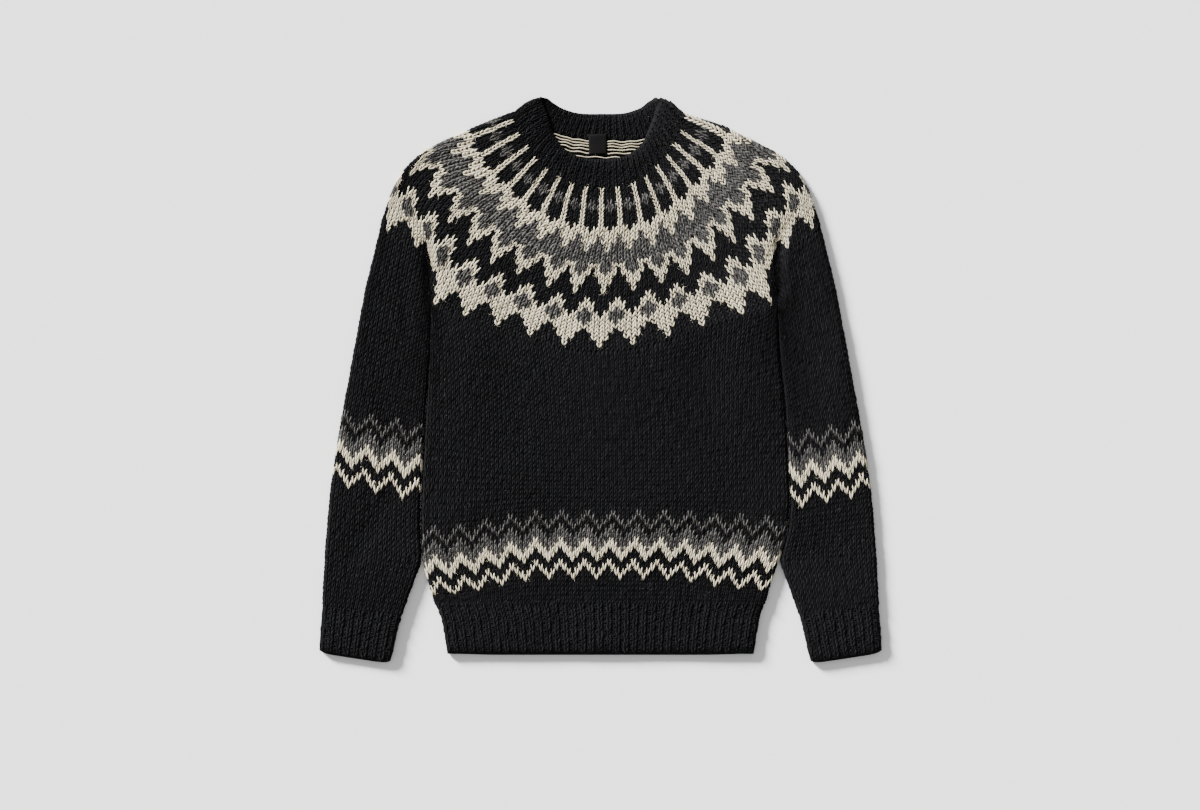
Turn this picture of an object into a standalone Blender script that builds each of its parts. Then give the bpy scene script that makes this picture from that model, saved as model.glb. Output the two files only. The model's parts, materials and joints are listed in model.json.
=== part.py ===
"""Knitted yoke sweater laid flat: front lying on back, sleeves down beside the body.

Metres, +Z up. X runs across the chest and +Y towards the neck, with the underside on Z = 0.
Each knitted piece is a flattened tube: a front layer over a back layer, joined at its folds.
"""
import math
from collections import namedtuple

import bmesh
import bpy

MM = 0.001

# ---- driving sizes, millimetres ----
WALL = 2.8              # wool cloth
BAND_WALL = 3.2         # ribbed bands are denser
THICK = 8.6             # laid thickness over both layers
SEAM_GAP = 0.5          # clearance between neighbouring pieces
HEM_SEAM_Y = -266.0
HEM_Y = -327.5
BACK_HEM_DROP = 1.6     # the back hem shows just below the front one
RIB_HEIGHT = 0.9
ROUND_PITCH = 4.98      # from one knitted round of the yoke to the next

# ---- counts ----
REPEATS = 17            # pattern repeats over the front of the yoke
YOKE_ROWS = 40          # knitted rounds from neck seam to yoke seam
SPLIT = 5.1             # repeats from the centre to the underarm
HEM_RIBS = 37           # ribs on the front, as are the next two
CUFF_RIBS = 9
NECK_RIBS = 36
FOLD_ANGLES = (0, 30, 60, 90)
YOKE_COLUMNS = 29       # points across a layer, between its folds
BODY_COLUMNS = 21
SLEEVE_COLUMNS = 7
YOKE_STATIONS = (0.0, 4.5, 8.5, 13.0, 17.0, 22.0, 27.0, 31.5, 36.0, YOKE_ROWS)
NECK_STATIONS = (1.0, 0.72, 0.4, 0.0)   # share of the way from the rim to the seam
CURVE_STEPS = 48
PATH_STEPS = 24

# A front yoke round: its number, height at the centre, shoulder fold x and y, slope there, how
# far the back of the round is lifted, how many repeats that reaches, the share of the round's
# length from the centre to the underarm, past which the crease crowds the stitches, and how
# much of the half width runs level at the centre.
Round = namedtuple("Round", "number centre_y fold_x fold_y slope lift reach crowd level")
YOKE_TABLE = tuple(Round(*values) for values in (
    (0.0, 235.2, 100.2, 323.9, 72, 60.6, 8.5, 0.60, 0.42),
    (8.5, 192.9, 148.0, 305.5, 67, 53.0, 8.0, 0.60, 0.42),
    (17.0, 150.5, 190.0, 286.5, 62, 46.0, 7.6, 0.60, 0.43),
    (22.0, 125.6, 216.0, 271.0, 60, 41.0, 7.2, 0.60, 0.43),
    (27.0, 100.7, 236.5, 251.5, 58, 35.0, 6.8, 0.60, 0.44),
    (31.5, 78.3, 249.0, 229.5, 58, 28.0, 6.2, 0.64, 0.48),
    (40.0, 36.0, 262.5, 187.0, 62, 18.6, SPLIT, 0.655, 0.57),
))
RIM = Round(-6.0, 265.1, 72.6, 340.0, 68, 54.7, 8.5, 0.60, 0.42)
LIFT_POWER = 1.2        # how quickly the lift dies out towards the folds
FOLD_PULL = 0.36        # how long the curve keeps the fold's slope
WIDTH_PULL = 0.4        # how much a round's width adds to that

# Body: height, left and right half width, and how much of the yoke's curve (fade) is left.
Station = namedtuple("Station", "height left right fade")
BODY_TABLE = tuple(Station(*values) for values in (
    (96.6, 200.0, 200.0, 1.0),
    (66.0, 199.0, 204.5, 0.8),
    (36.6, 199.8, 210.0, 0.6),
    (-23.4, 204.6, 219.0, 0.3),
    (-83.4, 210.6, 224.0, 0.1),
    (-143.4, 214.8, 227.0, 0.0),
    (-179.4, 215.4, 224.0, 0.0),
    (-215.4, 213.0, 213.6, 0.0),
    (-240.0, 207.0, 205.0, 0.0),
    (HEM_SEAM_Y, 199.5, 197.5, 0.0),
))
# Hem: height, left and right half width.
HEM_TABLE = (
    (HEM_SEAM_Y - SEAM_GAP, 199.4, 197.4),
    (-281.0, 192.0, 191.8),
    (-303.0, 188.0, 188.0),
    (HEM_Y, 184.4, 184.4),
)
# Sleeve: inner edge height, outer edge x and y; the inner edge follows the body to the gap.
SLEEVE_TABLE = (
    (66.0, 270.5, 156.0, 0.8),
    (36.6, 281.0, 114.0, 0.6),
    (-23.4, 300.6, 10.0, 0.3),
    (-83.4, 314.4, -66.0, 0.1),
    (-143.4, 324.0, -130.0, 0.0),
    (-179.4, 327.6, -167.4, 0.0),
    (-215.4, 330.6, -204.0, 0.0),
)
# Lower sleeve and cuff, clear of the body: inner x and y, outer x and y.
FOREARM_TABLE = (
    (-229.0, -257.0, -332.6, -246.0),
    (-237.0, -279.5, -333.8, -268.0),
)
CUFF_TABLE = (
    (-237.2, -280.0, -333.8, -268.5),
    (-243.0, -302.0, -335.6, -289.5),
    (-247.2, -323.0, -337.0, -310.0),
    (-251.0, -339.6, -337.6, -326.4),
)
# Soft folds in the upper layer: x and y of the line's start and end, half width, height.
FOLD_TABLE = (
    (-238.0, 205.0, -203.0, 110.0, 17.0, -2.2),     # left armhole crease
    (236.0, 205.0, 206.0, 110.0, 17.0, -2.2),       # right armhole crease
    (-150.0, 40.0, -165.0, -150.0, 40.0, 1.3),
    (40.0, -20.0, 70.0, -170.0, 46.0, 1.0),
    (-60.0, -190.0, -40.0, -300.0, 30.0, -0.8),
    (-285.0, 60.0, -280.0, -120.0, 20.0, 1.2),
    (288.0, 60.0, 286.0, -120.0, 20.0, 1.2),
)
LABEL = {"x": -3.2, "y": 282.8, "width": 22.0, "height": 24.5, "thick": 0.7, "turn": 1.5, "gap": 0.3}

COLOURS = {"black_wool": (0.012, 0.012, 0.014), "woven_label": (0.010, 0.009, 0.009)}


def clear_scene():
    for obj in list(bpy.data.objects):
        bpy.data.objects.remove(obj, do_unlink=True)


def wool_material(name):
    material = bpy.data.materials.new(name)
    material.use_nodes = True
    shader = material.node_tree.nodes["Principled BSDF"]
    shader.inputs["Base Color"].default_value = (*COLOURS[name], 1.0)
    shader.inputs["Roughness"].default_value = 0.95
    shader.inputs["Metallic"].default_value = 0.0
    return material


def mix(a, b, t):
    return a + (b - a) * t


def blend(low, high, t):
    """A row part of the way between two rows of a table."""
    return type(low)(*(mix(a, b, t) for a, b in zip(low, high)))


def table_row(table, key):
    """The table's values at a key between its rows, by straight interpolation."""
    for low, high in zip(table, table[1:]):
        if key <= high[0] or high is table[-1]:
            return blend(low, high, (key - low[0]) / (high[0] - low[0]))


def round_curve(row):
    """Bezier of the front of one yoke round, centre to fold: x >= 0."""
    angle = math.radians(row.slope)
    pull = FOLD_PULL * (row.fold_y - row.centre_y + WIDTH_PULL * row.fold_x)
    handle = (row.fold_x - pull * math.cos(angle), row.fold_y - pull * math.sin(angle))
    return (0.0, row.centre_y), (row.level * row.fold_x, row.centre_y), handle, (row.fold_x, row.fold_y)


def bezier(points, t):
    s = 1.0 - t
    weights = (s ** 3, 3 * s * s * t, 3 * s * t * t, t ** 3)
    return tuple(sum(w * p[i] for w, p in zip(weights, points)) for i in (0, 1))


def at_length(points, share):
    """Point at a share of a Bezier's length, so that repeats are spaced evenly."""
    line = [bezier(points, i / CURVE_STEPS) for i in range(CURVE_STEPS + 1)]
    lengths = [math.dist(a, b) for a, b in zip(line, line[1:])]
    left = share * sum(lengths)
    for a, b, length in zip(line, line[1:], lengths):
        if left <= length:
            break
        left -= length
    t = min(left / length, 1.0)
    return mix(a[0], b[0], t), mix(a[1], b[1], t)


def round_point(row, u, back):
    """A point of a yoke round, u repeats from the centre line."""
    beyond = abs(u) - SPLIT
    if beyond < 0.0:
        share = row.crowd * abs(u) / SPLIT
    else:
        share = min(mix(row.crowd, 1.0, beyond / (REPEATS / 2 - SPLIT)), 1.0)
    x, y = at_length(round_curve(row), share)
    if back:
        y += row.lift * max(0.0, 1.0 - (u / row.reach) ** 2) ** LIFT_POWER
    return math.copysign(x, u), y


def round_path(row, start, end, back=False):
    """Path along a yoke round as a function of 0..1."""
    return lambda t: round_point(row, mix(start, end, t), back)


def fold_height(x, y):
    """Rise or dip of the upper layer from the soft folds."""
    total = 0.0
    for x0, y0, x1, y1, reach, height in FOLD_TABLE:
        dx, dy = x1 - x0, y1 - y0
        t = ((x - x0) * dx + (y - y0) * dy) / (dx * dx + dy * dy)
        t = min(max(t, 0.0), 1.0)
        distance = math.hypot(x - x0 - t * dx, y - y0 - t * dy)
        total += height * math.exp(-(distance / reach) ** 2)
    return total


def path_length(path):
    points = [path(i / PATH_STEPS) for i in range(PATH_STEPS + 1)]
    return sum(math.dist(a, b) for a, b in zip(points, points[1:]))


def flat_ring(front, back, count, wall, ribs=0, thick=THICK):
    """One section of a flattened tube: its outer and inner loops of 3-D points.

    front and back are plan paths between the same two folds. The ends are half round, and
    ribs, where there are any, stand up from the outside of the front layer.
    """
    radius = thick / 2
    inner_radius = radius - wall
    angles = [math.radians(a) for a in FOLD_ANGLES]
    middle = [(i + 1) / (count + 1) for i in range(count)]

    def side(path, top):
        length = path_length(path)
        outer, inner = [], []
        sign = 1 if top else -1
        stops = [(radius * (1 - math.cos(a)), radius - inner_radius * math.cos(a), math.sin(a))
                 for a in angles]
        left = [(o / length, i / length, s) for o, i, s in stops]
        right = [(1 - o, 1 - i, s) for o, i, s in reversed(left)]
        low, high = left[-1][0], right[0][0]
        flat = [(mix(low, high, t), mix(low, high, t), 1.0) for t in middle]
        for number, (o, i, rise) in enumerate(left + flat + right):
            x, y = path(o)
            lift = fold_height(x, y) * rise if top else 0.0
            raised = RIB_HEIGHT * rise if ribs and top and number % 2 else 0.0
            outer.append((x, y, radius + sign * radius * rise + lift + raised))
            x, y = path(i)
            inner.append((x, y, radius + sign * inner_radius * rise + lift))
        return outer, inner

    top_outer, top_inner = side(front, True)
    low_outer, low_inner = side(back, False)
    outer = top_outer + low_outer[-2:0:-1]
    inner = top_inner + low_inner[-2:0:-1]
    return outer, inner


def tube(name, sections, material):
    """Closed wall through sections: outer skin, inner skin and the two rims."""
    mesh = bpy.data.meshes.new(name)
    form = bmesh.new()
    skins = []
    for outer, inner in sections:
        skins.append([[form.verts.new([v * MM for v in p]) for p in loop] for loop in (outer, inner)])
    size = len(skins[0][0])
    for first, second in zip(skins, skins[1:]):
        for i in range(size):
            j = (i + 1) % size
            form.faces.new((first[0][i], second[0][i], second[0][j], first[0][j]))
            form.faces.new((first[1][j], second[1][j], second[1][i], first[1][i]))
    for skin, flip in ((skins[0], False), (skins[-1], True)):
        for i in range(size):
            j = (i + 1) % size
            rim = (skin[0][i], skin[0][j], skin[1][j], skin[1][i])
            form.faces.new(rim[::-1] if flip else rim)
    bmesh.ops.triangulate(form, faces=form.faces)
    bmesh.ops.recalc_face_normals(form, faces=form.faces)
    form.to_mesh(mesh)
    form.free()
    mesh.shade_smooth()
    mesh.set_sharp_from_angle(angle=math.radians(50))
    mesh.materials.append(material)
    obj = bpy.data.objects.new(name, mesh)
    bpy.context.scene.collection.objects.link(obj)
    return obj


def make_yoke(material):
    half = REPEATS / 2
    sections = []
    for number in YOKE_STATIONS:
        row = table_row(YOKE_TABLE, number)
        sections.append(flat_ring(round_path(row, -half, half), round_path(row, -half, half, True),
                                  YOKE_COLUMNS, WALL))
    tube("yoke", sections, material)


def seam_row():
    """The round just below the yoke, where body and sleeves begin."""
    return table_row(YOKE_TABLE, YOKE_ROWS + SEAM_GAP / ROUND_PITCH)


def body_path(station, back):
    row = seam_row()
    corner = round_point(row, SPLIT, False)

    def path(t):
        x, y = round_point(row, mix(-SPLIT, SPLIT, t), back)
        share = (x + corner[0]) / (2 * corner[0])
        return mix(-station.left, station.right, share), station.height + station.fade * (y - corner[1])
    return path


def make_body(material):
    corner = round_point(seam_row(), SPLIT, False)
    half_width = corner[0] - SEAM_GAP / 2
    stations = (Station(corner[1], half_width, half_width, 1.0),) + BODY_TABLE[1:]
    sections = [flat_ring(body_path(s, False), body_path(s, True), BODY_COLUMNS, WALL)
                for s in stations]
    tube("body", sections, material)


def body_edge(height, side):
    """Half width of the body at a height, on its left (-1) or right (1) side."""
    station = BODY_TABLE[-1]
    for low, high in zip(BODY_TABLE, BODY_TABLE[1:]):
        if height >= high.height:
            station = blend(low, high, (height - low.height) / (high.height - low.height))
            break
    return station.left if side < 0 else station.right


def straight(inner, outer):
    return lambda t: (mix(inner[0], outer[0], t), mix(inner[1], outer[1], t))


def sleeve_path(inner, outer, fade, side):
    """Across the sleeve, still bowed like the yoke round near its top."""
    row = seam_row()
    half = REPEATS / 2
    start, end = round_point(row, side * SPLIT, False), round_point(row, side * half, False)

    def path(t):
        x, y = round_point(row, side * mix(SPLIT, half, t), False)
        bow_x = x - mix(start[0], end[0], t)
        bow_y = y - mix(start[1], end[1], t)
        return mix(inner[0], outer[0], t) + fade * bow_x, mix(inner[1], outer[1], t) + fade * bow_y
    return path


def from_left(path_left, path_right, side):
    """Sections run from low x to high x, so that both sleeves face outwards alike."""
    return path_right if side > 0 else lambda t: path_left(1 - t)


def make_sleeve(name, side, material):
    row = seam_row()
    start = round_point(row, side * SPLIT, False)
    end = round_point(row, side * REPEATS / 2, False)
    paths = [sleeve_path((start[0] + side * SEAM_GAP / 2, start[1]), end, 1.0, side)]
    for inner_y, outer_x, outer_y, fade in SLEEVE_TABLE:
        inner = (side * (body_edge(inner_y, side) + SEAM_GAP), inner_y)
        paths.append(sleeve_path(inner, (side * outer_x, outer_y), fade, side))
    for inner_x, inner_y, outer_x, outer_y in FOREARM_TABLE:
        paths.append(straight((-side * inner_x, inner_y), (-side * outer_x, outer_y)))
    sections = []
    for path in paths:
        path = from_left(path, path, side)
        sections.append(flat_ring(path, path, SLEEVE_COLUMNS, WALL))
    tube(name, sections, material)


def make_cuff(name, side, material):
    sections = []
    for inner_x, inner_y, outer_x, outer_y in CUFF_TABLE:
        path = straight((-side * inner_x, inner_y), (-side * outer_x, outer_y))
        path = from_left(path, path, side)
        sections.append(flat_ring(path, path, 2 * CUFF_RIBS - 1, BAND_WALL, CUFF_RIBS))
    tube(name, sections, material)


def make_hem(material):
    sections = []
    depth = HEM_TABLE[0][0] - HEM_TABLE[-1][0]
    for height, left, right in HEM_TABLE:
        share = (HEM_TABLE[0][0] - height) / depth
        front = straight((-left, height), (right, height))
        lower = height - share * BACK_HEM_DROP

        def back(t, lower=lower, height=height, left=left, right=right):
            bow = min(1.0, 8 * t * (1 - t))
            return mix(-left, right, t), mix(height, lower, bow)
        sections.append(flat_ring(front, back, 2 * HEM_RIBS - 1, BAND_WALL, HEM_RIBS))
    tube("hem_rib", sections, material)


def make_neckband(material):
    seam = table_row(YOKE_TABLE, -SEAM_GAP / ROUND_PITCH)
    sections = []
    half = REPEATS / 2
    for share in NECK_STATIONS:
        row = blend(seam, RIM, share)
        sections.append(flat_ring(round_path(row, -half, half), round_path(row, -half, half, True),
                                  2 * NECK_RIBS - 1, BAND_WALL, NECK_RIBS))
    tube("neckband", sections, material)


def make_label(material):
    """Bare woven label lying on the inside of the back, just under the neckband."""
    mesh = bpy.data.meshes.new("neck_label")
    form = bmesh.new()
    bmesh.ops.create_cube(form, size=1.0)
    for vert in form.verts:
        vert.co.x *= LABEL["width"] * MM
        vert.co.y *= LABEL["height"] * MM
        vert.co.z *= LABEL["thick"] * MM
    form.to_mesh(mesh)
    form.free()
    mesh.materials.append(material)
    obj = bpy.data.objects.new("neck_label", mesh)
    lift = WALL + LABEL["gap"] + LABEL["thick"] / 2
    obj.location = (LABEL["x"] * MM, LABEL["y"] * MM, lift * MM)
    obj.rotation_euler.z = math.radians(LABEL["turn"])
    bpy.context.scene.collection.objects.link(obj)


def main():
    clear_scene()
    wool = wool_material("black_wool")
    make_yoke(wool)
    make_body(wool)
    make_hem(wool)
    make_neckband(wool)
    for side, word in ((-1, "left"), (1, "right")):
        make_sleeve("sleeve_" + word, side, wool)
        make_cuff("cuff_" + word, side, wool)
    make_label(wool_material("woven_label"))


main()
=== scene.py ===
# %% [markdown]
# # A knitted yoke sweater, laid flat
#
# The sweater is a set of flattened tubes of knitted cloth: yoke, body, two sleeves, and ribbed
# neckband, cuffs and hem. Each tube gets a thin shell of cloth, and on its upper side lies every
# stitch as a small V of yarn, in the colour that the knitting chart gives it. All of it takes
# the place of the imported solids, which are loaded first.

import json
import math
from collections import namedtuple

import bmesh
import bpy
import numpy as np
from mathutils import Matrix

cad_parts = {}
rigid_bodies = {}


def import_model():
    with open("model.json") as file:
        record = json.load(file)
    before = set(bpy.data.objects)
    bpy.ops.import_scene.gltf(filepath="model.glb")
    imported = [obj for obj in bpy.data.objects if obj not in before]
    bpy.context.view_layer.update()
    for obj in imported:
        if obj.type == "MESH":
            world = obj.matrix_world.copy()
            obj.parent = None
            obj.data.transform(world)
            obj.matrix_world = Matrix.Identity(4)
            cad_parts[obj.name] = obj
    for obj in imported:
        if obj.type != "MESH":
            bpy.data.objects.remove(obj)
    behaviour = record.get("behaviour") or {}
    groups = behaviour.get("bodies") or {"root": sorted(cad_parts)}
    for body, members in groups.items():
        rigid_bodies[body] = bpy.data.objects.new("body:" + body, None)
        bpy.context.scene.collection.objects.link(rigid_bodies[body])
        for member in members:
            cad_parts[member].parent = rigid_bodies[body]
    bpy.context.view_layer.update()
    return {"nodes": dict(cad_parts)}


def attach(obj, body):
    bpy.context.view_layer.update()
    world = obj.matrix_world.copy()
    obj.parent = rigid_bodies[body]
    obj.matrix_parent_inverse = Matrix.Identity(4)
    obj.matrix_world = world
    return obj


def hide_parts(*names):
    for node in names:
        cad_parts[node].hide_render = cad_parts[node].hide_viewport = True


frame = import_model()
print("solids:", sorted(frame["nodes"]))

# %% [markdown]
# ## Sizes
#
# All sizes are in millimetres until a mesh is made. The cloth lies double, 8.6 mm over both
# layers, and turns over in a half circle at its folds. The shell is a little thinner than the
# solid, because the yarn of the stitches stands on it. A stitch is 5.2 mm wide and 5 mm high,
# so the numbers of columns and rows follow from the size of each tube.

# %% sizes of cloth, and stitches and rows of each tube
MM = 0.001
RADIUS = 4.3            # half of the laid thickness, and of the fold's turn
SHELL = 3.5             # radius at which the outside of the shell lies
WALL = 1.9              # thickness of the shell
HEM_SEAM_Y = -266.0
HEM_Y = -327.5
RIB_HEIGHT = 0.25       # how far the shell of a band is waved
SEAM_GAP = 0.5          # between the sleeve and the body beside it
SEAM_LAP = 0.35         # rows that body and sleeves run up under the yoke's last stitches
SEAM_TUCK = 1.0         # how far a rib runs up under the edge of its tube

REPEATS = 17            # pattern repeats across the front of the yoke
HALF = REPEATS / 2
SPLIT = 5.1             # repeats from the centre line to the underarm
YOKE_ROWS = 40
BODY_COLUMNS, BODY_ROWS = 87, 59
SLEEVE_COLUMNS, SLEEVE_ROWS = 21, 71
HEM_RIBS, HEM_ROWS = 37, 12
CUFF_RIBS, CUFF_ROWS = 9, 11
NECK_RIBS, NECK_ROWS = 36, 6
print("stitches on the body:", BODY_COLUMNS * BODY_ROWS)

# %% [markdown]
# ## The rounds of the yoke
#
# A yoke is knitted in rounds, so laid flat its rows are smiles that hang from shoulder to
# shoulder. They could be drawn as circles, but cloth sags, so each measured round is a Bezier
# curve, and the rounds between are blended from their neighbours.

# %% the rounds: where each crosses the centre, where and how steeply it meets the shoulder fold
# lift: how much higher the back lies at the centre, and reach: for how many repeats
# crowd: share of its length that SPLIT repeats take; level: share of fold_x that it stays level
Round = namedtuple("Round", "number centre_y fold_x fold_y slope lift reach crowd level")
RIM = Round(-6.0, 265.1, 72.6, 340.0, 62, 54.7, 8.5, 0.60, 0.86)
YOKE_TABLE = np.array((
    (0.0, 235.2, 100.2, 323.9, 72, 60.6, 8.5, 0.60, 0.42),
    (8.5, 192.9, 148.0, 305.5, 67, 53.0, 8.0, 0.60, 0.42),
    (17.0, 150.5, 190.0, 286.5, 62, 46.0, 7.6, 0.60, 0.43),
    (22.0, 125.6, 216.0, 271.0, 60, 41.0, 7.2, 0.60, 0.43),
    (27.0, 100.7, 236.5, 251.5, 58, 35.0, 6.8, 0.60, 0.44),
    (31.5, 78.3, 249.0, 229.5, 58, 28.0, 6.2, 0.64, 0.48),
    (40.0, 36.0, 262.5, 187.0, 62, 18.6, SPLIT, 0.655, 0.57),
    (42.0, 26.0, 264.5, 177.0, 62, 17.0, SPLIT, 0.655, 0.57),
))


def row_of(table, key):
    """The table's values at a key, blended between its rows."""
    return [np.interp(key, table[:, 0], column) for column in table.T]


def yoke_round(number):
    """The shape of any round, also between measured ones. Rounds below 0 are the neckband's."""
    if number < 0.0:
        share = number / RIM.number
        return Round(*(a + (b - a) * share for a, b in zip(YOKE_TABLE[0], RIM)))
    return Round(*row_of(YOKE_TABLE, number))


def run_along(points):
    """Distance from a line's start to each of its points."""
    return np.concatenate(([0.0], np.cumsum(np.hypot(*np.diff(points, axis=0).T))))


def round_line(row, repeats, back=False):
    """Plan points of a yoke round at places counted in repeats from the centre line."""
    angle = math.radians(row.slope)
    pull = 0.36 * (row.fold_y - row.centre_y + 0.4 * row.fold_x)      # of the handle at the fold
    handles = np.array((
        (0.0, row.centre_y),
        (row.level * row.fold_x, row.centre_y),
        (row.fold_x - pull * math.cos(angle), row.fold_y - pull * math.sin(angle)),
        (row.fold_x, row.fold_y),
    ))
    t = np.linspace(0.0, 1.0, 65)[:, None]
    curve = ((1 - t) ** 3 * handles[0] + 3 * t * (1 - t) ** 2 * handles[1]
             + 3 * t ** 2 * (1 - t) * handles[2] + t ** 3 * handles[3])
    run = run_along(curve)
    repeats = np.asarray(repeats, dtype=float)
    share = np.interp(np.abs(repeats), (0.0, SPLIT, HALF), (0.0, row.crowd, 1.0))
    x = np.interp(share * run[-1], run, curve[:, 0])
    y = np.interp(share * run[-1], run, curve[:, 1])
    if back:
        y = y + row.lift * np.clip(1.0 - (repeats / row.reach) ** 2, 0.0, None) ** 1.2
    return np.stack((np.copysign(x, repeats), y), axis=1)


print("first round ends at", round_line(yoke_round(0), [-HALF, HALF]).round(1).tolist())

# %% [markdown]
# ## Where the pattern really lies
#
# Nobody lays a yoke down evenly. Its top is turned a little to the right, and at each underarm
# the cloth dives into a crease, so the pattern is crowded there. The places of rays, tips and
# dots were measured in the photograph, in millimetres from the middle of the sweater. The
# difference between each and the plain round is spread over its neighbours by smooth weights,
# so the whole cloth passes close by all of them.

# %% landmarks: for each round, (repeats from the middle, x, y)
LANDMARKS = {
    -0.3: (
        (-8.5, -100, 311), (-7.5, -92, 296), (-6.5, -83, 281), (-5.5, -74, 267), (-4.5, -61, 256),
        (-3.5, -46, 247), (-2.5, -32, 239), (-1.5, -16, 235), (-0.5, 2, 234), (0.5, 20, 235),
        (1.5, 38, 239), (2.5, 52, 247), (3.5, 65, 259), (4.5, 75, 272), (5.5, 85, 284),
        (6.5, 92, 299), (7.5, 97, 314),
    ),
    17: (
        (-8, -181, 271), (-7, -166, 244), (-6, -146, 221), (-5, -124, 202), (-4, -103, 181),
        (-3, -75, 167), (-2, -45, 158), (-1, -19, 152), (0, 7, 151), (1, 34, 154), (2, 63, 159),
        (3, 87, 171), (4, 111, 189), (5, 130, 209), (6, 149, 231), (7, 167, 253), (8, 178, 280),
    ),
    26.5: (
        (-8, -227, 245), (-7, -205, 217), (-6, -181, 188), (-5, -158, 161), (-4, -130, 139),
        (-3, -99, 127), (-2, -63, 112), (-1, -31, 105), (0, 3, 104), (1, 39, 107), (2, 73, 116),
        (3, 104, 125), (4, 135, 142), (5, 161, 163), (6, 182, 190), (7, 207, 223), (8, 224, 249),
    ),
    31.5: (
        (-7.5, -230, 205), (-6.5, -207, 178), (-5.5, -190, 148), (-4.5, -163, 122),
        (-3.5, -130, 107), (-2.5, -94, 94), (-1.5, -56, 83), (-0.5, -19, 76), (0.5, 19, 77),
        (1.5, 57, 85), (2.5, 94, 95), (3.5, 131, 109), (4.5, 167, 123), (5.5, 191, 150),
        (6.5, 209, 182), (7.5, 231, 211),
    ),
    40: (
        (-8, -255, 175), (-7, -219, 157), (-5, -199, 87), (-4, -163, 75), (-3, -124, 64),
        (-2, -85, 52), (-1, -44, 40), (0, -1, 37), (1, 39, 40), (2, 82, 51), (3, 122, 63),
        (4, 170, 77), (5, 205, 89), (7, 223, 154), (8, 254, 177),
    ),
}
TURN = np.array(((0.0, 0.85), (11.0, 0.55), (17.0, 0.28), (27.0, 0.12), (40.0, 0.0)))
HELD_ROUNDS = (-6.0, 0.0, 8.0, 17.0, 26.5, 34.0, 42.0)     # whose ends stay at the shoulder fold
SOFTNESS = 0.03         # lets the cloth miss a landmark a little, so that it stays smooth
PLACE_REACH = 1.15      # how far a landmark pulls, in repeats
ROUND_REACH = 8.0       # and in rounds


def turned(number):
    """How far the yoke is turned at a round, in repeats."""
    return np.interp(number, TURN[:, 0], TURN[:, 1])


def nearness(some, others):
    """How strongly each spot shares the pull of each other one: 1 at the same place."""
    steps = (some[:, None] - others[None]) / (PLACE_REACH, ROUND_REACH)
    return np.exp(-(steps ** 2).sum(axis=2))


def pull_weights():
    """Places of the landmarks on the cloth, and the weight of each one's pull."""
    spots, pulls = [], []
    for number, marks in LANDMARKS.items():
        for repeat, x, y in marks:
            place = repeat + turned(number)
            plain = round_line(yoke_round(number), [-HALF, place, HALF])[1]
            spots.append((place, number))
            pulls.append((x - plain[0], y - plain[1]))
    held = [(place, number) for number in HELD_ROUNDS for place in (-HALF, HALF)]
    held += [(place, RIM.number) for place in np.arange(-7.5, 8.0, 1.5)]
    spots = np.array(spots + held)
    pulls = np.array(pulls + [(0.0, 0.0)] * len(held))
    return spots, np.linalg.solve(nearness(spots, spots) + SOFTNESS * np.eye(len(spots)), pulls)


SPOTS, PULLS = pull_weights()


def yoke_line(number, places, back=False):
    """Plan points of a yoke round as it lies, at places counted in repeats."""
    places = np.asarray(places, dtype=float)
    points = round_line(yoke_round(number), places, back)
    spots = np.stack((places, np.full_like(places, number)), axis=1)
    return points + nearness(spots, SPOTS) @ PULLS


CROWDED = [-7, -5, 5, 7]
pulled = yoke_line(YOKE_ROWS, CROWDED) - round_line(yoke_round(YOKE_ROWS), CROWDED)
print("largest pull:", round(float(np.abs(pulled).max()), 1), "mm")

# %% [markdown]
# ## Body rows
#
# Body and sleeves grow from the last yoke round. Near it their rows keep the yoke's curve, and
# lower down they straighten. The zigzag band above the hem droops at both sides, more at the
# left, so the rows there are pulled down.

# %% body rows
CORNER = 5.6            # repeats of the yoke from the middle to where body and sleeve part
# Outline of the body: height, and how far out its left and right folds lie.
BODY_EDGE = np.array((
    (108.0, 205.0, 211.0),
    (96.6, 203.4, 211.6),
    (66.0, 203.4, 212.6),
    (36.6, 204.6, 214.0),
    (-23.4, 208.0, 220.4),
    (-83.4, 212.0, 224.0),
    (-143.4, 214.8, 227.0),
    (-179.4, 215.4, 224.0),
    (-215.4, 213.0, 213.6),
    (-240.0, 207.0, 205.0),
    (HEM_SEAM_Y, 199.5, 197.5),
    (-281.0, 192.0, 191.8),
    (-303.0, 188.0, 188.0),
    (HEM_Y, 184.4, 184.4),
))
# Rows: number, height at the middle, left and right side, and the yoke's curve that is left.
BODY_TABLE = np.array((
    (-1.0, 40.8, 113.0, 113.0, 1.0),
    (0.0, 35.8, 108.0, 108.0, 1.0),
    (6.0, 5.9, 70.0, 70.0, 0.75),
    (12.0, -24.0, 26.0, 26.0, 0.5),
    (22.0, -73.8, -42.0, -40.0, 0.2),
    (30.0, -113.6, -104.0, -98.0, 0.0),
    (38.0, -153.4, -172.0, -160.0, 0.0),
    (53.0, -233.4, -256.0, -249.0, 0.0),
    (BODY_ROWS, HEM_SEAM_Y, HEM_SEAM_Y, HEM_SEAM_Y, 0.0),
    (62.0, -281.0, -281.0, -281.0, 0.0),
))


def body_edge(height, side):
    """How far out the body's fold lies at a height, on the left (-1) or the right (1)."""
    column = BODY_EDGE[::-1, 1 if side < 0 else 2]
    return np.interp(height, BODY_EDGE[::-1, 0], column)


def smooth(values):
    """From 0 to 1, level at both ends."""
    values = np.clip(values, 0.0, 1.0)
    return values * values * (3.0 - 2.0 * values)


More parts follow.
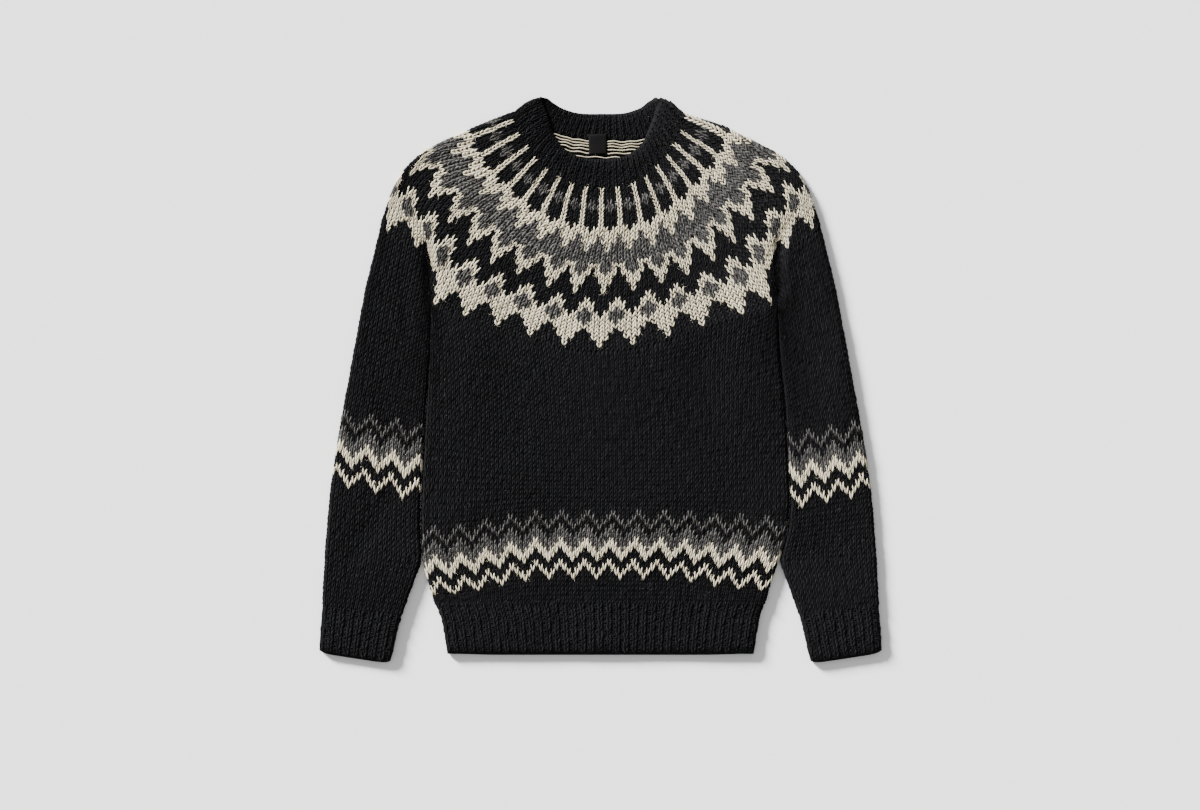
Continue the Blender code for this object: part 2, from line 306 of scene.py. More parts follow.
def body_line(row, columns, back=False):
    """Plan points of a body row at places counted in stitches from the left fold."""
    _, middle, left_y, right_y, curl = row_of(BODY_TABLE, row)
    share = np.asarray(columns, dtype=float) / BODY_COLUMNS
    last = yoke_line(YOKE_ROWS, (share * 2 - 1) * CORNER)
    x = (last[:, 0] - last[0, 0]) / (last[-1, 0] - last[0, 0])
    x = curl * x + (1 - curl) * share
    side_y = np.where(share < 0.5, left_y, right_y)
    lowest = last[:, 1].min()
    span = (last[:, 1] - lowest) / (np.where(share < 0.5, last[0, 1], last[-1, 1]) - lowest)
    away = np.abs(share - 0.5) * 2
    bend = curl * span + (1 - curl) * smooth((away - 0.3) / 0.65)
    y = middle + (side_y - middle) * bend
    if back:
        raised = yoke_line(YOKE_ROWS, (share * 2 - 1) * CORNER, True)
        y = y + curl * (raised[:, 1] - last[:, 1])
    left, right = body_edge(left_y, -1), body_edge(right_y, 1)
    return np.stack((-left + (left + right) * x, y), axis=1)


print("body row 38:", body_line(38, [0, 40, BODY_COLUMNS]).round(1).tolist())

# %% [markdown]
# ## Sleeve rows
#
# A sleeve lies beside the body and leaves it below the elbow. Its rows run from the inner fold
# to the outer one, and like the body's they lose the yoke's curve on the way down. Both
# sleeves would be alike, but laid down their bands end at different heights, so each has a
# table of its own.

# %% sleeve rows
# Outline of both sleeves: height, and how far out the outer fold lies.
SLEEVE_EDGE = np.array((
    (192.0, 261.3), (187.0, 262.5), (156.0, 270.5), (114.0, 281.0), (10.0, 300.6), (-66.0, 314.4),
    (-130.0, 324.0), (-167.4, 327.6), (-204.0, 330.6), (-246.0, 332.6), (-268.0, 333.8),
    (-289.5, 335.6),
))
# Rows: number, inner height, outer height, and the yoke's curve that is left.
SLEEVE_TABLES = {
    -1: np.array((
        (-1.0, 112.5, 191.5, 1.0),
        (0.0, 107.5, 186.5, 1.0),
        (12.0, 50.0, 110.0, 0.6),
        (34.0, -55.0, -40.0, 0.1),
        (49.0, -147.0, -125.0, 0.0),
        (60.0, -212.0, -201.0, 0.0),
        (SLEEVE_ROWS, -279.5, -268.0, 0.0),
        (75.0, -302.0, -289.5, 0.0),
    )),
    1: np.array((
        (-1.0, 112.5, 191.5, 1.0),
        (0.0, 107.5, 186.5, 1.0),
        (12.0, 46.0, 106.0, 0.6),
        (34.0, -66.0, -52.0, 0.1),
        (49.0, -156.0, -137.0, 0.0),
        (60.0, -214.0, -204.0, 0.0),
        (SLEEVE_ROWS, -279.5, -268.0, 0.0),
        (75.0, -302.0, -289.5, 0.0),
    )),
}
FOREARM = np.array(((-302.0, 243.0), (-279.5, 237.0), (-257.0, 229.0), (-215.4, 213.5)))


def sleeve_inner(height, side):
    """How far out the sleeve's inner fold lies: beside the body, then clear of it."""
    if height > FOREARM[-1, 0]:
        return body_edge(height, side) + SEAM_GAP
    return np.interp(height, FOREARM[:, 0], FOREARM[:, 1])


def sleeve_line(side, row, columns, back=False):
    """Plan points of a sleeve row at places counted in stitches from the inner fold."""
    _, inner_y, outer_y, curl = row_of(SLEEVE_TABLES[side], row)
    share = np.asarray(columns, dtype=float) / SLEEVE_COLUMNS
    last = yoke_line(YOKE_ROWS, side * (CORNER + (HALF - CORNER) * share))
    bow = last - (last[0] + (last[-1] - last[0]) * share[:, None])
    inner = np.array((side * sleeve_inner(inner_y, side), inner_y))
    outer_x = np.interp(outer_y, SLEEVE_EDGE[::-1, 0], SLEEVE_EDGE[::-1, 1])
    outer = np.array((side * outer_x, outer_y))
    return inner + (outer - inner) * share[:, None] + curl * bow


print("right sleeve row 40:", sleeve_line(1, 40, [0, SLEEVE_COLUMNS]).round(1).tolist())

# %% [markdown]
# ## Creases
#
# Laid cloth is never flat. A simulation would wrinkle it at random, but the photograph shows
# where it gives way: a crease runs from each shoulder to the underarm, and broad shallow waves
# cross the body and sleeves. Each crease is one row of a table, a soft trough or ridge along a
# line, uneven along its length. A faint ripple everywhere keeps the flat stretches from looking
# pressed.

# %% the crease field
# Columns: start x and y, end x and y, half width, and height, which is below 0 for a trough.
CREASES = (
    (-228.0, 200.0, -209.0, 163.0, 8.0, -1.4),
    (-209.0, 163.0, -201.5, 100.0, 6.5, -2.8),
    (-196.0, 165.0, -189.0, 100.0, 9.0, 1.3),
    (230.0, 200.0, 214.5, 168.0, 8.0, -1.6),
    (214.5, 168.0, 211.5, 98.0, 6.0, -3.0),
    (227.0, 168.0, 225.0, 100.0, 9.0, 1.2),
    (-236.0, 125.0, -232.0, 55.0, 8.0, -1.1),
    (222.0, 25.0, 250.0, 23.0, 4.0, -0.9),
    (-150.0, 40.0, -165.0, -150.0, 40.0, 1.3),
    (40.0, -20.0, 70.0, -170.0, 46.0, 1.0),
    (-60.0, -190.0, -40.0, -300.0, 30.0, -0.8),
    (120.0, 20.0, 165.0, -120.0, 24.0, -0.8),
    (-90.0, 120.0, -120.0, 30.0, 26.0, -0.6),
    (-285.0, 60.0, -280.0, -120.0, 20.0, 1.2),
    (288.0, 60.0, 286.0, -120.0, 20.0, 1.2),
    (-248.0, -130.0, -300.0, -215.0, 14.0, -0.9),
    (250.0, -150.0, 298.0, -225.0, 14.0, -0.9),
)
DEEPEST = -2.9          # where the upper layer would touch the lower one
RIPPLE = 0.35           # height of the faint unevenness everywhere


def crease_height(x, y):
    """How far the upper layer stands above or below the flat at plan points."""
    total = np.zeros_like(x)
    for x0, y0, x1, y1, reach, height in CREASES:
        dx, dy = x1 - x0, y1 - y0
        t = np.clip(((x - x0) * dx + (y - y0) * dy) / (dx * dx + dy * dy), 0.0, 1.0)
        away = np.hypot(x - x0 - t * dx, y - y0 - t * dy)
        uneven = 1.0 + 0.25 * np.sin(7.0 * t + x0)
        total += height * uneven * np.exp(-(away / reach) ** 2)
    ripple = np.sin(x / 31.0 + 1.3 * np.sin(y / 47.0)) * np.sin(y / 38.0 + 0.8 * np.sin(x / 53.0))
    return np.maximum(total + RIPPLE * ripple, DEEPEST)


print("creases:", len(CREASES))

# %% [markdown]
# ## Laying a row double
#
# A row is known by its plan line. To lay it as cloth, distance along the row is turned into
# distance over the cloth: round the fold first, where the cloth climbs, then across the flat.
# A row can be laid on the upper layer or the lower one, at any radius, so the same few lines
# give the outside of the shell, its inside and the places of the stitches.

# %% cloth points of one row
def lay(places, line, at, radius, top, lift=0.0):
    """3-D points of a row: line(places) is its plan line, and at are the places wanted."""
    points = line(places)
    run = run_along(points)
    length = run[-1]
    cloth = length + (math.pi - 2.0) * RADIUS
    spread = np.interp(at, places, run)
    first = run[1] / (places[1] - places[0])
    last = (run[-1] - run[-2]) / (places[-1] - places[-2])
    spread += np.minimum(at - places[0], 0.0) * first + np.maximum(at - places[-1], 0.0) * last
    spread *= cloth / length
    near = np.minimum(spread, cloth - spread)
    turn = np.clip(near / RADIUS, -math.pi / 2, math.pi / 2)
    flat = np.maximum(near - RADIUS * math.pi / 2, 0.0)
    radius = radius + lift * np.clip(np.sin(turn), 0.0, 1.0)
    inset = RADIUS - radius * np.cos(turn) + flat
    distance = np.where(spread < cloth / 2, inset, length - inset)
    x = np.interp(distance, run, points[:, 0])
    y = np.interp(distance, run, points[:, 1])
    z = RADIUS + (radius if top else -radius) * np.sin(turn)
    if top:
        z = z + crease_height(x, y) * np.clip(np.sin(turn), 0.0, 1.0)
    return np.stack((x, y, z), axis=1)


def grid(line, places, rows, at, radius, top, lift=0.0):
    """Points of many rows: an array of rows by places by 3. The lift may differ from row to row."""
    lifts = np.broadcast_to(lift, (len(rows), len(at)))
    return np.array([lay(places, lambda p, r=r: line(r, p), at, radius, top, high)
                     for r, high in zip(rows, lifts)])


first_stitch = lay(np.arange(BODY_COLUMNS + 1.0), lambda p: body_line(30, p), np.arange(2.0),
                   SHELL, True)
print("heights across the first stitch of body row 30:", first_stitch[:, 2].round(1).tolist())

# %% [markdown]
# ## Charts
#
# A knitter follows a chart: one letter for each stitch, one line for each round. The charts are
# written from the middle of the gap between two peaks to the middle of the peak, because each
# repeat is the same on both sides: k is black yarn, g grey and w off-white.

# %% the yoke's two charts and the zigzag band
UPPER_CHART = (
    "kkw kkw kkw gkw ggw gkw kkw kkw kkw kkw kww www wwg wwg wgg wgg ggg ggg ggg"
).split()
LOWER_CHART = (
    "ggww ggwk gwwk wwkk wwkk wkkk wkkk kkkk "
    "kkkw kkww kkwg kwgg wwgg wwwg wwww wwwk wwkk wwkk wkkk wkkk kkkk"
).split()
ZIGZAG = "gkkgggwwkkkw"      # down one column, from the tip of the thin grey line
ZIGZAG_WIDTH = 6        # stitches from one peak to the next
BODY_BAND_ROW, SLEEVE_BAND_ROW = 38, 33         # rows where the peaks' tips lie
BODY_PEAK_COLUMN, SLEEVE_PEAK_COLUMNS = 45, {-1: 1, 1: 0}


def chart_yarn(chart, row, stitches, place):
    """Yarn of a yoke stitch: place counts repeats from the centre line."""
    return chart[row][round(abs(place - round(place)) * stitches)]


def band_yarn(row, column, peak):
    """Yarn of a zigzag stitch: each column away from the peak starts one row lower."""
    away = (column - peak) % ZIGZAG_WIDTH
    depth = row - min(away, ZIGZAG_WIDTH - away)
    return ZIGZAG[depth] if 0 <= depth < len(ZIGZAG) else "k"


print("charts:", len(UPPER_CHART), "and", len(LOWER_CHART), "rounds")

# %% [markdown]
# ## Cloth shells
#
# The shell of a tube has four skins in one closed mesh: the outside and inside of the upper
# layer and of the lower one. Its faces are one stitch wide and one row high, so a face takes
# the yarn of the stitch above it, as a face attribute, and the lower layer shows the pattern
# too. A UV map counts stitches and rows, for the knitted bump.

# %% helpers that make a closed mesh
YARNS = "kgw"
FACE_VALUES = ("yarn", "yarn_above", "in_shade")
BARE = (0, 0, 0)        # face values of the inside and the rims: black yarn, and no shade


def mesh_object(name, points, faces):
    """A mesh from points in millimetres, linked into the scene."""
    mesh = bpy.data.meshes.new(name)
    mesh.from_pydata((np.asarray(points) * MM).tolist(), [], faces)
    obj = bpy.data.objects.new(name, mesh)
    bpy.context.scene.collection.objects.link(obj)
    return obj


def turned_outward(obj):
    """Points all faces of a closed mesh outwards, and shades it smooth."""
    form = bmesh.new()
    form.from_mesh(obj.data)
    bmesh.ops.recalc_face_normals(form, faces=form.faces)
    form.to_mesh(obj.data)
    form.free()
    obj.data.shade_smooth()
    return obj


def shell(name, upper, lower, inner_upper, inner_lower, yarn):
    """Closed wall of a flattened tube. Each skin runs fold to fold, rows from its top end down.

    yarn(row, column, top) names the yarn of a face.
    """
    rows, columns = upper.shape[:2]
    size = 2 * (columns - 1)
    outer = np.concatenate((upper, lower[:, -2:0:-1]), axis=1)
    inner = np.concatenate((inner_upper, inner_lower[:, -2:0:-1]), axis=1)
    below = rows * size
    faces, tones, places = [], [], []

    def add(corners, tone, uv, flip=False):
        faces.append(corners[::-1] if flip else corners)
        tones.append(tone)
        places.extend(uv[::-1] if flip else uv)

    def tone_at(row, column, top):
        return YARNS.index(yarn(row, column, top)) / 2

    for r in range(rows - 1):
        for c in range(size):
            top = c < columns - 1
            column = c if top else size - 1 - c
            own = tone_at(r, column, top)
            tone = (own, tone_at(max(r - 1, 0), column, top), top and own > 0)
            a, d = r * size + c, r * size + (c + 1) % size
            corners = (a, a + size, d + size, d)
            uv = ((c, -r), (c, -r - 1), (c + 1, -r - 1), (c + 1, -r))
            add(corners, tone, uv)
            add(tuple(below + corner for corner in corners), BARE, uv, flip=True)
    for r, flip in ((0, False), (rows - 1, True)):
        for c in range(size):
            a, d = r * size + c, r * size + (c + 1) % size
            add((a, d, below + d, below + a), BARE, ((c, -r), (c + 1, -r), (c + 1, -r), (c, -r)), flip)
    obj = mesh_object(name, np.concatenate((outer.reshape(-1, 3), inner.reshape(-1, 3))), faces)
    for value, column in zip(FACE_VALUES, np.array(tones, dtype=float).T):
        obj.data.attributes.new(value, "FLOAT", "FACE").data.foreach_set("value", column.copy())
    uv_map = obj.data.uv_layers.new(name="knit")
    uv_map.data.foreach_set("uv", np.array(places, dtype=float).ravel())
    return turned_outward(obj)


def tube(name, line, places, rows, at, yarn, ribs=0.0):
    """Shell of a tube from its row lines; line takes (row, places, back)."""
    skins = [grid(lambda r, p, b=back: line(r, p, b), places, rows, at, radius, not back, lift)
             for back, radius, lift in ((False, SHELL, ribs), (True, SHELL, RADIUS - SHELL),
                                        (False, SHELL - WALL, 0.0), (True, SHELL - WALL, -ribs))]
    return shell(name, *skins, yarn)


# %% [markdown]
# ## Helpers for node trees
#
# Wool, ground cloth, stitches and strands all come from node trees. They could be wired by hand
# in the editor, but written out they stay readable and can be built again. One helper adds a
# node and feeds its inputs, each with a value or a link, and two more name the nodes that are
# used most, for sums and for arrows.

# %% node helpers
def feed(tree, socket, value):
    """Links another node's socket to this one, or sets its value."""
    if isinstance(value, bpy.types.NodeSocket):
        tree.links.new(value, socket)
    else:
        socket.default_value = value


def node(tree, kind, inputs=(), **settings):
    """A new node: its settings first, then its inputs by name or number."""
    made = tree.nodes.new(kind)
    for key, value in settings.items():
        setattr(made, key, value)
    for key, value in dict(inputs).items():
        feed(tree, made.inputs[key], value)
    return made


def maths(tree, operation, *values):
    """A sum of numbers, each a value or a socket."""
    return node(tree, "ShaderNodeMath", enumerate(values), operation=operation).outputs[0]


def arrows(tree, operation, first, second):
    """A sum of two arrows, or the first one times a number."""
    inputs = {0: first, "Scale" if operation == "SCALE" else 1: second}
    return node(tree, "ShaderNodeVectorMath", inputs, operation=operation).outputs[0]


def tree_sockets(tree, sockets, outputs):
    """Adds named sockets, (name, kind, default), and returns the identifiers of the inputs."""
    found = {}
    for name, kind, default in sockets:
        socket = tree.interface.new_socket(name, in_out="INPUT", socket_type="NodeSocket" + kind)
        if default is not None:
            socket.default_value = default
        found[name] = socket.identifier
    for name, kind in outputs:
        tree.interface.new_socket(name, in_out="OUTPUT", socket_type="NodeSocket" + kind)
    return found


def surface(name, values):
    """A new material, its tree and its shader with some values set."""
    material = bpy.data.materials.new(name)
    material.use_nodes = True
    shader = material.node_tree.nodes["Principled BSDF"]
    for key, value in values.items():
        shader.inputs[key].default_value = value
    return material, material.node_tree, shader


# %% [markdown]
# ## Yarn materials
#
# Wool is matt, a little paler where fibres stand up to the light, and each strand is mottled by
# the fibres in it. A picture of wool could be wrapped on, but noise has no seams. One node group
# gives every wool its tone and its fibre height, and each material keeps its own colour and
# sheen.

# %% the fibre group
def fibre_group():
    """Tone around 1 and a fibre height, from noise at two sizes of the wool."""
    tree = bpy.data.node_groups.new("wool_fibre", "ShaderNodeTree")
    tree_sockets(tree, (("Fibre scale", "Float", 800.0), ("Mottle scale", "Float", 260.0),
                        ("Contrast", "Float", 0.35)), (("Tone", "Float"), ("Height", "Float")))
    inside = node(tree, "NodeGroupInput").outputs
    place = node(tree, "ShaderNodeTexCoord").outputs["Object"]
    fibre, mottle = (
        node(tree, "ShaderNodeTexNoise",
             {"Vector": place, "Scale": inside[scale], "Detail": detail}).outputs["Fac"]
        for scale, detail in (("Fibre scale", 3.0), ("Mottle scale", 2.0)))
    centred = maths(tree, "SUBTRACT", maths(tree, "ADD", fibre, mottle), 1.0)
    tone = maths(tree, "MULTIPLY_ADD", centred, inside["Contrast"], 1.0)
    darkest = 0.2
    node(tree, "NodeGroupOutput", {"Tone": maths(tree, "MAXIMUM", tone, darkest), "Height": fibre})
    return tree


FIBRE = fibre_group()
print("fibre group:", len(FIBRE.nodes), "nodes")

# %% [markdown]
# ## Black, grey and off-white
#
# Three colours of wool make the whole pattern. Each yarn could have the very tone that the
# photograph shows, but that tone already has the light in it. So each has a colour of its own,
# and a shade that suits this scene's light. The black one has the deepest nap, because its
# fibres are what the light catches most.

# %% the three yarns
COLOURS = {
    "black_wool": (0.012, 0.012, 0.014, 1.0),
    "grey_wool": (0.078, 0.074, 0.070, 1.0),
    "white_wool": (0.68, 0.61, 0.45, 1.0),
    "woven_label": (0.010, 0.009, 0.009, 1.0),
}
YARN_NAMES = {"k": "black", "g": "grey", "w": "white"}


def slot_of(key):
    """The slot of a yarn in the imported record."""
    return YARN_NAMES[key] + "_wool"


def shaded(slot, shade):
    """A slot's colour, darkened to suit the light of this scene."""
    return [value * shade for value in COLOURS[slot][:3]]


def woollen(name, contrast, sheen, tint, nap=0.0003):
    """Wool without its colour: a matt, softly shining surface, its fibres and their bump."""
    material, tree, shader = surface(name, {
        "Roughness": 0.92, "Specular IOR Level": 0.08,
        "Sheen Weight": sheen, "Sheen Roughness": 0.45, "Sheen Tint": tint,
    })
    fibre = node(tree, "ShaderNodeGroup", {"Contrast": contrast}, node_tree=FIBRE).outputs
    bump = node(tree, "ShaderNodeBump", {"Distance": nap, "Strength": 0.5, "Height": fibre["Height"]})
    feed(tree, shader.inputs["Normal"], bump.outputs["Normal"])
    return material, tree, shader, fibre, bump


def yarn_wool(slot, contrast, sheen, tint, shade, nap=0.0003):
    """The wool of one yarn. Its colour is the slot's, times a shade."""
    material, tree, shader, fibre, _ = woollen(slot, contrast, sheen, tint, nap)
    feed(tree, shader.inputs["Base Color"], arrows(tree, "SCALE", shaded(slot, shade), fibre["Tone"]))
    return material


WOOL = {
    "k": yarn_wool("black_wool", 3.0, 0.02, (0.8, 0.75, 0.8, 1.0), 0.29, nap=0.0014),
    "g": yarn_wool("grey_wool", 3.6, 0.05, (0.9, 0.9, 0.92, 1.0), 0.58),
    "w": yarn_wool("white_wool", 0.8, 0.05, (1.0, 0.97, 0.9, 1.0), 0.73),
}
print("yarns:", [material.name for material in WOOL.values()])

# %% [markdown]
# ## The ground cloth
#
# Between the stitches the ground shows, in shadow. It could be one dark colour, but from below
# and inside it is the cloth itself, so its material reads the yarn attribute for colour and
# draws the knit on the UV map: a herringbone of legs, two to a stitch, as a height for bump. The
# foot of a stitch reaches into the row below, so each face also knows the yarn above it, and
# the edge between two colours runs in a V. Under the pale stitches the ground is darkened, as
# light hardly reaches it between thick yarn.

# %% the ground material
SHADE_BETWEEN = 0.85    # how much darker the ground is between pale stitches


def ground_wool():
    """The knitted cloth, drawn on the UV map."""
    material, tree, shader, fibre, bump = woollen("ground_wool", 1.5, 0.02, (0.8, 0.8, 0.8, 1.0))
    yarn, above, in_shade = (node(tree, "ShaderNodeAttribute", attribute_name=name).outputs["Fac"]
                             for name in FACE_VALUES)
    knit = node(tree, "ShaderNodeUVMap", uv_map="knit").outputs["UV"]
    column, row, _ = node(tree, "ShaderNodeSeparateXYZ", {0: knit}).outputs
    across = maths(tree, "PINGPONG", column, 0.5)
    # The colour of the stitch itself above its V-shaped lower edge, and of the one above there.
    down = maths(tree, "FRACT", maths(tree, "MULTIPLY", row, -1.0))
    own = maths(tree, "GREATER_THAN", down, maths(tree, "MULTIPLY", across, 1.3))
    change = maths(tree, "SUBTRACT", yarn, above)
    ramp = node(tree, "ShaderNodeValToRGB", {"Fac": maths(tree, "MULTIPLY_ADD", change, own, above)})
    colours = ramp.color_ramp
    colours.interpolation = "CONSTANT"
    colours.elements[0].color = COLOURS["black_wool"]
    colours.elements[1].position = 0.25
    colours.elements[1].color = COLOURS["grey_wool"]
    colours.elements.new(0.75).color = COLOURS["white_wool"]
    # The height of the legs, and the tone, which is darker in the grooves as painted shade.
    leg = maths(tree, "PINGPONG", maths(tree, "ADD", row, across), 0.5)
    groove = maths(tree, "MULTIPLY", maths(tree, "PINGPONG", across, 0.25), 4.0)
    height = maths(tree, "MULTIPLY", maths(tree, "MULTIPLY_ADD", leg, 1.4, 0.3), groove)
    shade = maths(tree, "MULTIPLY_ADD", in_shade, -SHADE_BETWEEN, 1.0)
    # Painted shade: darker in the grooves, and darker still between pale stitches.
    depth = maths(tree, "MULTIPLY", maths(tree, "MULTIPLY_ADD", height, 0.6, 0.12), shade)
    tone = maths(tree, "MULTIPLY", fibre["Tone"], depth)
    feed(tree, shader.inputs["Base Color"], arrows(tree, "SCALE", ramp.outputs["Color"], tone))
    total = maths(tree, "MULTIPLY_ADD", height, 3.0, fibre["Height"])
    for name, value in (("Height", total), ("Distance", 0.0007), ("Strength", 0.9)):
        feed(tree, bump.inputs[name], value)
    return material


GROUND = ground_wool()
print("ground:", len(GROUND.node_tree.nodes), "nodes")

# %% [markdown]
# ## One stitch, thousands of times
#
# A knit stitch shows as a V: two legs of yarn that start close together, lean apart over two
# rows and dive under the next stitch. It could be painted, but real legs catch the light along
# the wales. Geometry Nodes build one V and set it on a point for every stitch. Each point
# carries three arrows, across, along and out, and the V is stretched along them, so it follows
# the pull of the cloth. A few helpers come first, for what both trees of this file need.

# %% helpers for geometry trees
def named(tree, name):
    """A point's own arrow."""
    return node(tree, "GeometryNodeInputNamedAttribute", {"Name": name},
                data_type="FLOAT_VECTOR").outputs["Attribute"]


def stored(tree, geometry, name, value):
    """The geometry with an arrow kept on every point."""
    return node(tree, "GeometryNodeStoreNamedAttribute",
                {"Name": name, "Geometry": geometry, "Value": value},
                data_type="FLOAT_VECTOR", domain="POINT").outputs["Geometry"]


def swept(tree, curve, radius, sides):
    """Yarn round a curve, thinner towards its ends."""
    along = node(tree, "GeometryNodeSplineParameter").outputs["Factor"]
    swell = maths(tree, "SINE", maths(tree, "MULTIPLY", along, math.pi))
    thick = maths(tree, "MULTIPLY", maths(tree, "MULTIPLY_ADD", swell, 0.25, 0.75), radius)
    circle = node(tree, "GeometryNodeCurvePrimitiveCircle", {"Resolution": sides, "Radius": 1.0})
    return node(tree, "GeometryNodeCurveToMesh", {
        "Curve": curve, "Scale": thick, "Profile Curve": circle.outputs["Curve"], "Fill Caps": True,
    }).outputs["Mesh"]


def finish_tree(tree, geometry, material):
    """Smooth, with its material, and out: the end of every tree, after Realize Instances."""
    real = node(tree, "GeometryNodeRealizeInstances", {"Geometry": geometry})
    soft = node(tree, "GeometryNodeSetShadeSmooth", {"Geometry": real.outputs["Geometry"]})
    paint = node(tree, "GeometryNodeSetMaterial",
                 {"Geometry": soft.outputs["Geometry"], "Material": material})
    node(tree, "NodeGroupOutput", {"Geometry": paint.outputs["Geometry"]})


# %% [markdown]
# ## The stitch tree
#
# The two legs of a stitch are mirror images. Both could be drawn, but one curve is drawn, swept
# with yarn and mirrored, so they stay alike. The pair goes to every point. Then each of its
# points moves to where its arrows say, in lengths of those arrows, and a little aside by
# chance, because real yarn is uneven.

# %% the stitch tree
# Points of one leg: x across, y along and z out. A name stands for an input of the tree.
LEG = {
    "Start": ("Foot", "Foot low", -0.06),
    "Middle": (0.38, 0.05, "Rise"),
    "End": ("Lean", 0.92, -0.06),
}


def stitch_tree():
    """Sets a V of yarn on every point, and stretches it along the point's arrows."""
    tree = bpy.data.node_groups.new("knit_stitches", "GeometryNodeTree")
    names = tree_sockets(tree, (
        ("Geometry", "Geometry", None),
        ("Yarn radius", "Float", 0.21),
        ("Foot", "Float", 0.13),
        ("Foot low", "Float", -0.85),
        ("Lean", "Float", 0.46),
        ("Leg points", "Int", 4),
        ("Rise", "Float", 0.42),
        ("Unevenness", "Float", 0.0003),
        ("Seed", "Int", 4),
        ("Yarn", "Material", None),
    ), (("Geometry", "Geometry"),))
    inside = node(tree, "NodeGroupInput").outputs
    leg = node(tree, "GeometryNodeCurveQuadraticBezier")
    for name, values in LEG.items():
        values = [inside[value] if isinstance(value, str) else value for value in values]
        point = node(tree, "ShaderNodeCombineXYZ", enumerate(values))
        feed(tree, leg.inputs[name], point.outputs[0])
    even = node(tree, "GeometryNodeResampleCurve",
                {"Count": inside["Leg points"], "Curve": leg.outputs["Curve"]})
    strand = swept(tree, even.outputs["Curve"], inside["Yarn radius"], 4)
    mirror = node(tree, "GeometryNodeTransform", {"Geometry": strand, "Scale": (-1.0, 1.0, 1.0)})
    other = node(tree, "GeometryNodeFlipFaces", {"Mesh": mirror.outputs["Geometry"]})
    pair = node(tree, "GeometryNodeJoinGeometry")
    for half in (strand, other.outputs["Mesh"]):
        feed(tree, pair.inputs["Geometry"], half)
    position = node(tree, "GeometryNodeInputPosition").outputs[0]
    stitch = stored(tree, pair.outputs["Geometry"], "spot", position)
    scatter = node(tree, "FunctionNodeRandomValue",
                   {0: (-1.0, -1.0, -1.0), 1: (1.0, 1.0, 1.0), "Seed": inside["Seed"]},
                   data_type="FLOAT_VECTOR")
    stray = arrows(tree, "SCALE", scatter.outputs[0], inside["Unevenness"])
    many = node(tree, "GeometryNodeInstanceOnPoints",
                {"Points": stored(tree, inside["Geometry"], "stray", stray), "Instance": stitch})
    real = node(tree, "GeometryNodeRealizeInstances", {"Geometry": many.outputs["Instances"]})
    spot = node(tree, "ShaderNodeSeparateXYZ", {0: named(tree, "spot")}).outputs
    total = arrows(tree, "SUBTRACT", named(tree, "stray"), named(tree, "spot"))
    for axis, arrow in zip("XYZ", ("across", "along", "out")):
        total = arrows(tree, "ADD", total, arrows(tree, "SCALE", named(tree, arrow), spot[axis]))
    drape = node(tree, "GeometryNodeSetPosition",
                 {"Geometry": real.outputs["Geometry"], "Offset": total})
    finish_tree(tree, drape.outputs["Geometry"], inside["Yarn"])
    return tree, names


STITCHES = stitch_tree()
print("stitch tree:", len(STITCHES[0].nodes), "nodes, inputs", list(STITCHES[1]))

# %% [markdown]
# ## Reading the cloth at every stitch
#
# A stitch of row r has its leg tips on that row's line and its foot two rows lower, so its
# arrows come from the four cloth points round it. No two stitches of real wool are alike,
# so each leans and grows a little by chance.

# %% places and arrows of stitches
OUT = 5.0               # one stitch unit away from the cloth, in millimetres
CHANCES = (0.07, 0.07, 0.05)     # spread of a stitch's lean, width and height


def stitch_points(cloth, rows, columns):
    """Places and arrows of the stitches at rows and columns of a grid of cloth points."""
    top_left, top_right = cloth[rows, columns], cloth[rows, columns + 1]
    low_left, low_right = cloth[rows + 2, columns], cloth[rows + 2, columns + 1]
    place = (top_left + top_right + low_left + low_right) / 4
    across = (top_right - top_left + low_right - low_left) / 2
    along = (top_left + top_right - low_left - low_right) / 4
    out = np.cross(across, along)
    if out[:, 2].mean() < 0.0:
        across, out = -across, -out
    out *= OUT / np.linalg.norm(out, axis=1)[:, None]
    chance = np.random.default_rng(len(rows))
    lean, width, height = chance.normal(0.0, CHANCES, (len(rows), 3)).T[:, :, None]
    wide = across * (1 + width) + along * lean
    return place, wide, along * (1 + height) - across * 0.5 * lean, out


# %% [markdown]
# ## Yarn by yarn
#
# The three yarns are not equally thick: the black one fills its row, and the off-white one
# leaves dark gaps between its legs. One tree makes them all, each with its own sizes. The sizes
# are set on the modifier by the identifiers of the tree's inputs, and then the modifier's
# result is taken as a plain mesh.

# %% sizes of the V in each yarn
YARN_SIZES = {
    "k": {"Leg points": 3, "Yarn radius": 0.25, "Rise": 0.2, "Foot low": -0.55, "Foot": 0.04},
    "g": {"Yarn radius": 0.21, "Foot low": -0.85, "Foot": 0.05},
    "w": {"Yarn radius": 0.18, "Foot low": -0.5, "Foot": 0.02, "Unevenness": 0.0004},
}
BOLD_WHITE = {**YARN_SIZES["w"], "Yarn radius": 0.2, "Foot low": -1.0}
BAND_SIZES = {**YARN_SIZES, "w": BOLD_WHITE}        # for the zigzag bands
RIB_SIZES = {**YARN_SIZES["k"], "Unevenness": 0.0004}
WORKING_VALUES = ("across", "along", "out", "spot", "stray")


def grown(holder, tree_and_inputs, yarn, sizes):
    """The plain mesh that a tree makes of a holder, in one yarn and under the holder's name."""
    tree, identifiers = tree_and_inputs
    modifier = holder.modifiers.new("yarn", "NODES")
    modifier.node_group = tree
    modifier[identifiers["Yarn"]] = WOOL[yarn]
    for key, value in sizes.items():
        modifier[identifiers[key]] = value
    shot = holder.evaluated_get(bpy.context.evaluated_depsgraph_get())
    mesh = bpy.data.meshes.new_from_object(shot)
    name = holder.name
    bpy.data.objects.remove(holder, do_unlink=True)
    for value in WORKING_VALUES:
        if value in mesh.attributes:
            mesh.attributes.remove(mesh.attributes[value])
    mesh.name = name
    obj = bpy.data.objects.new(name, mesh)
    bpy.context.scene.collection.objects.link(obj)
    slot_of(yarn)
    return obj


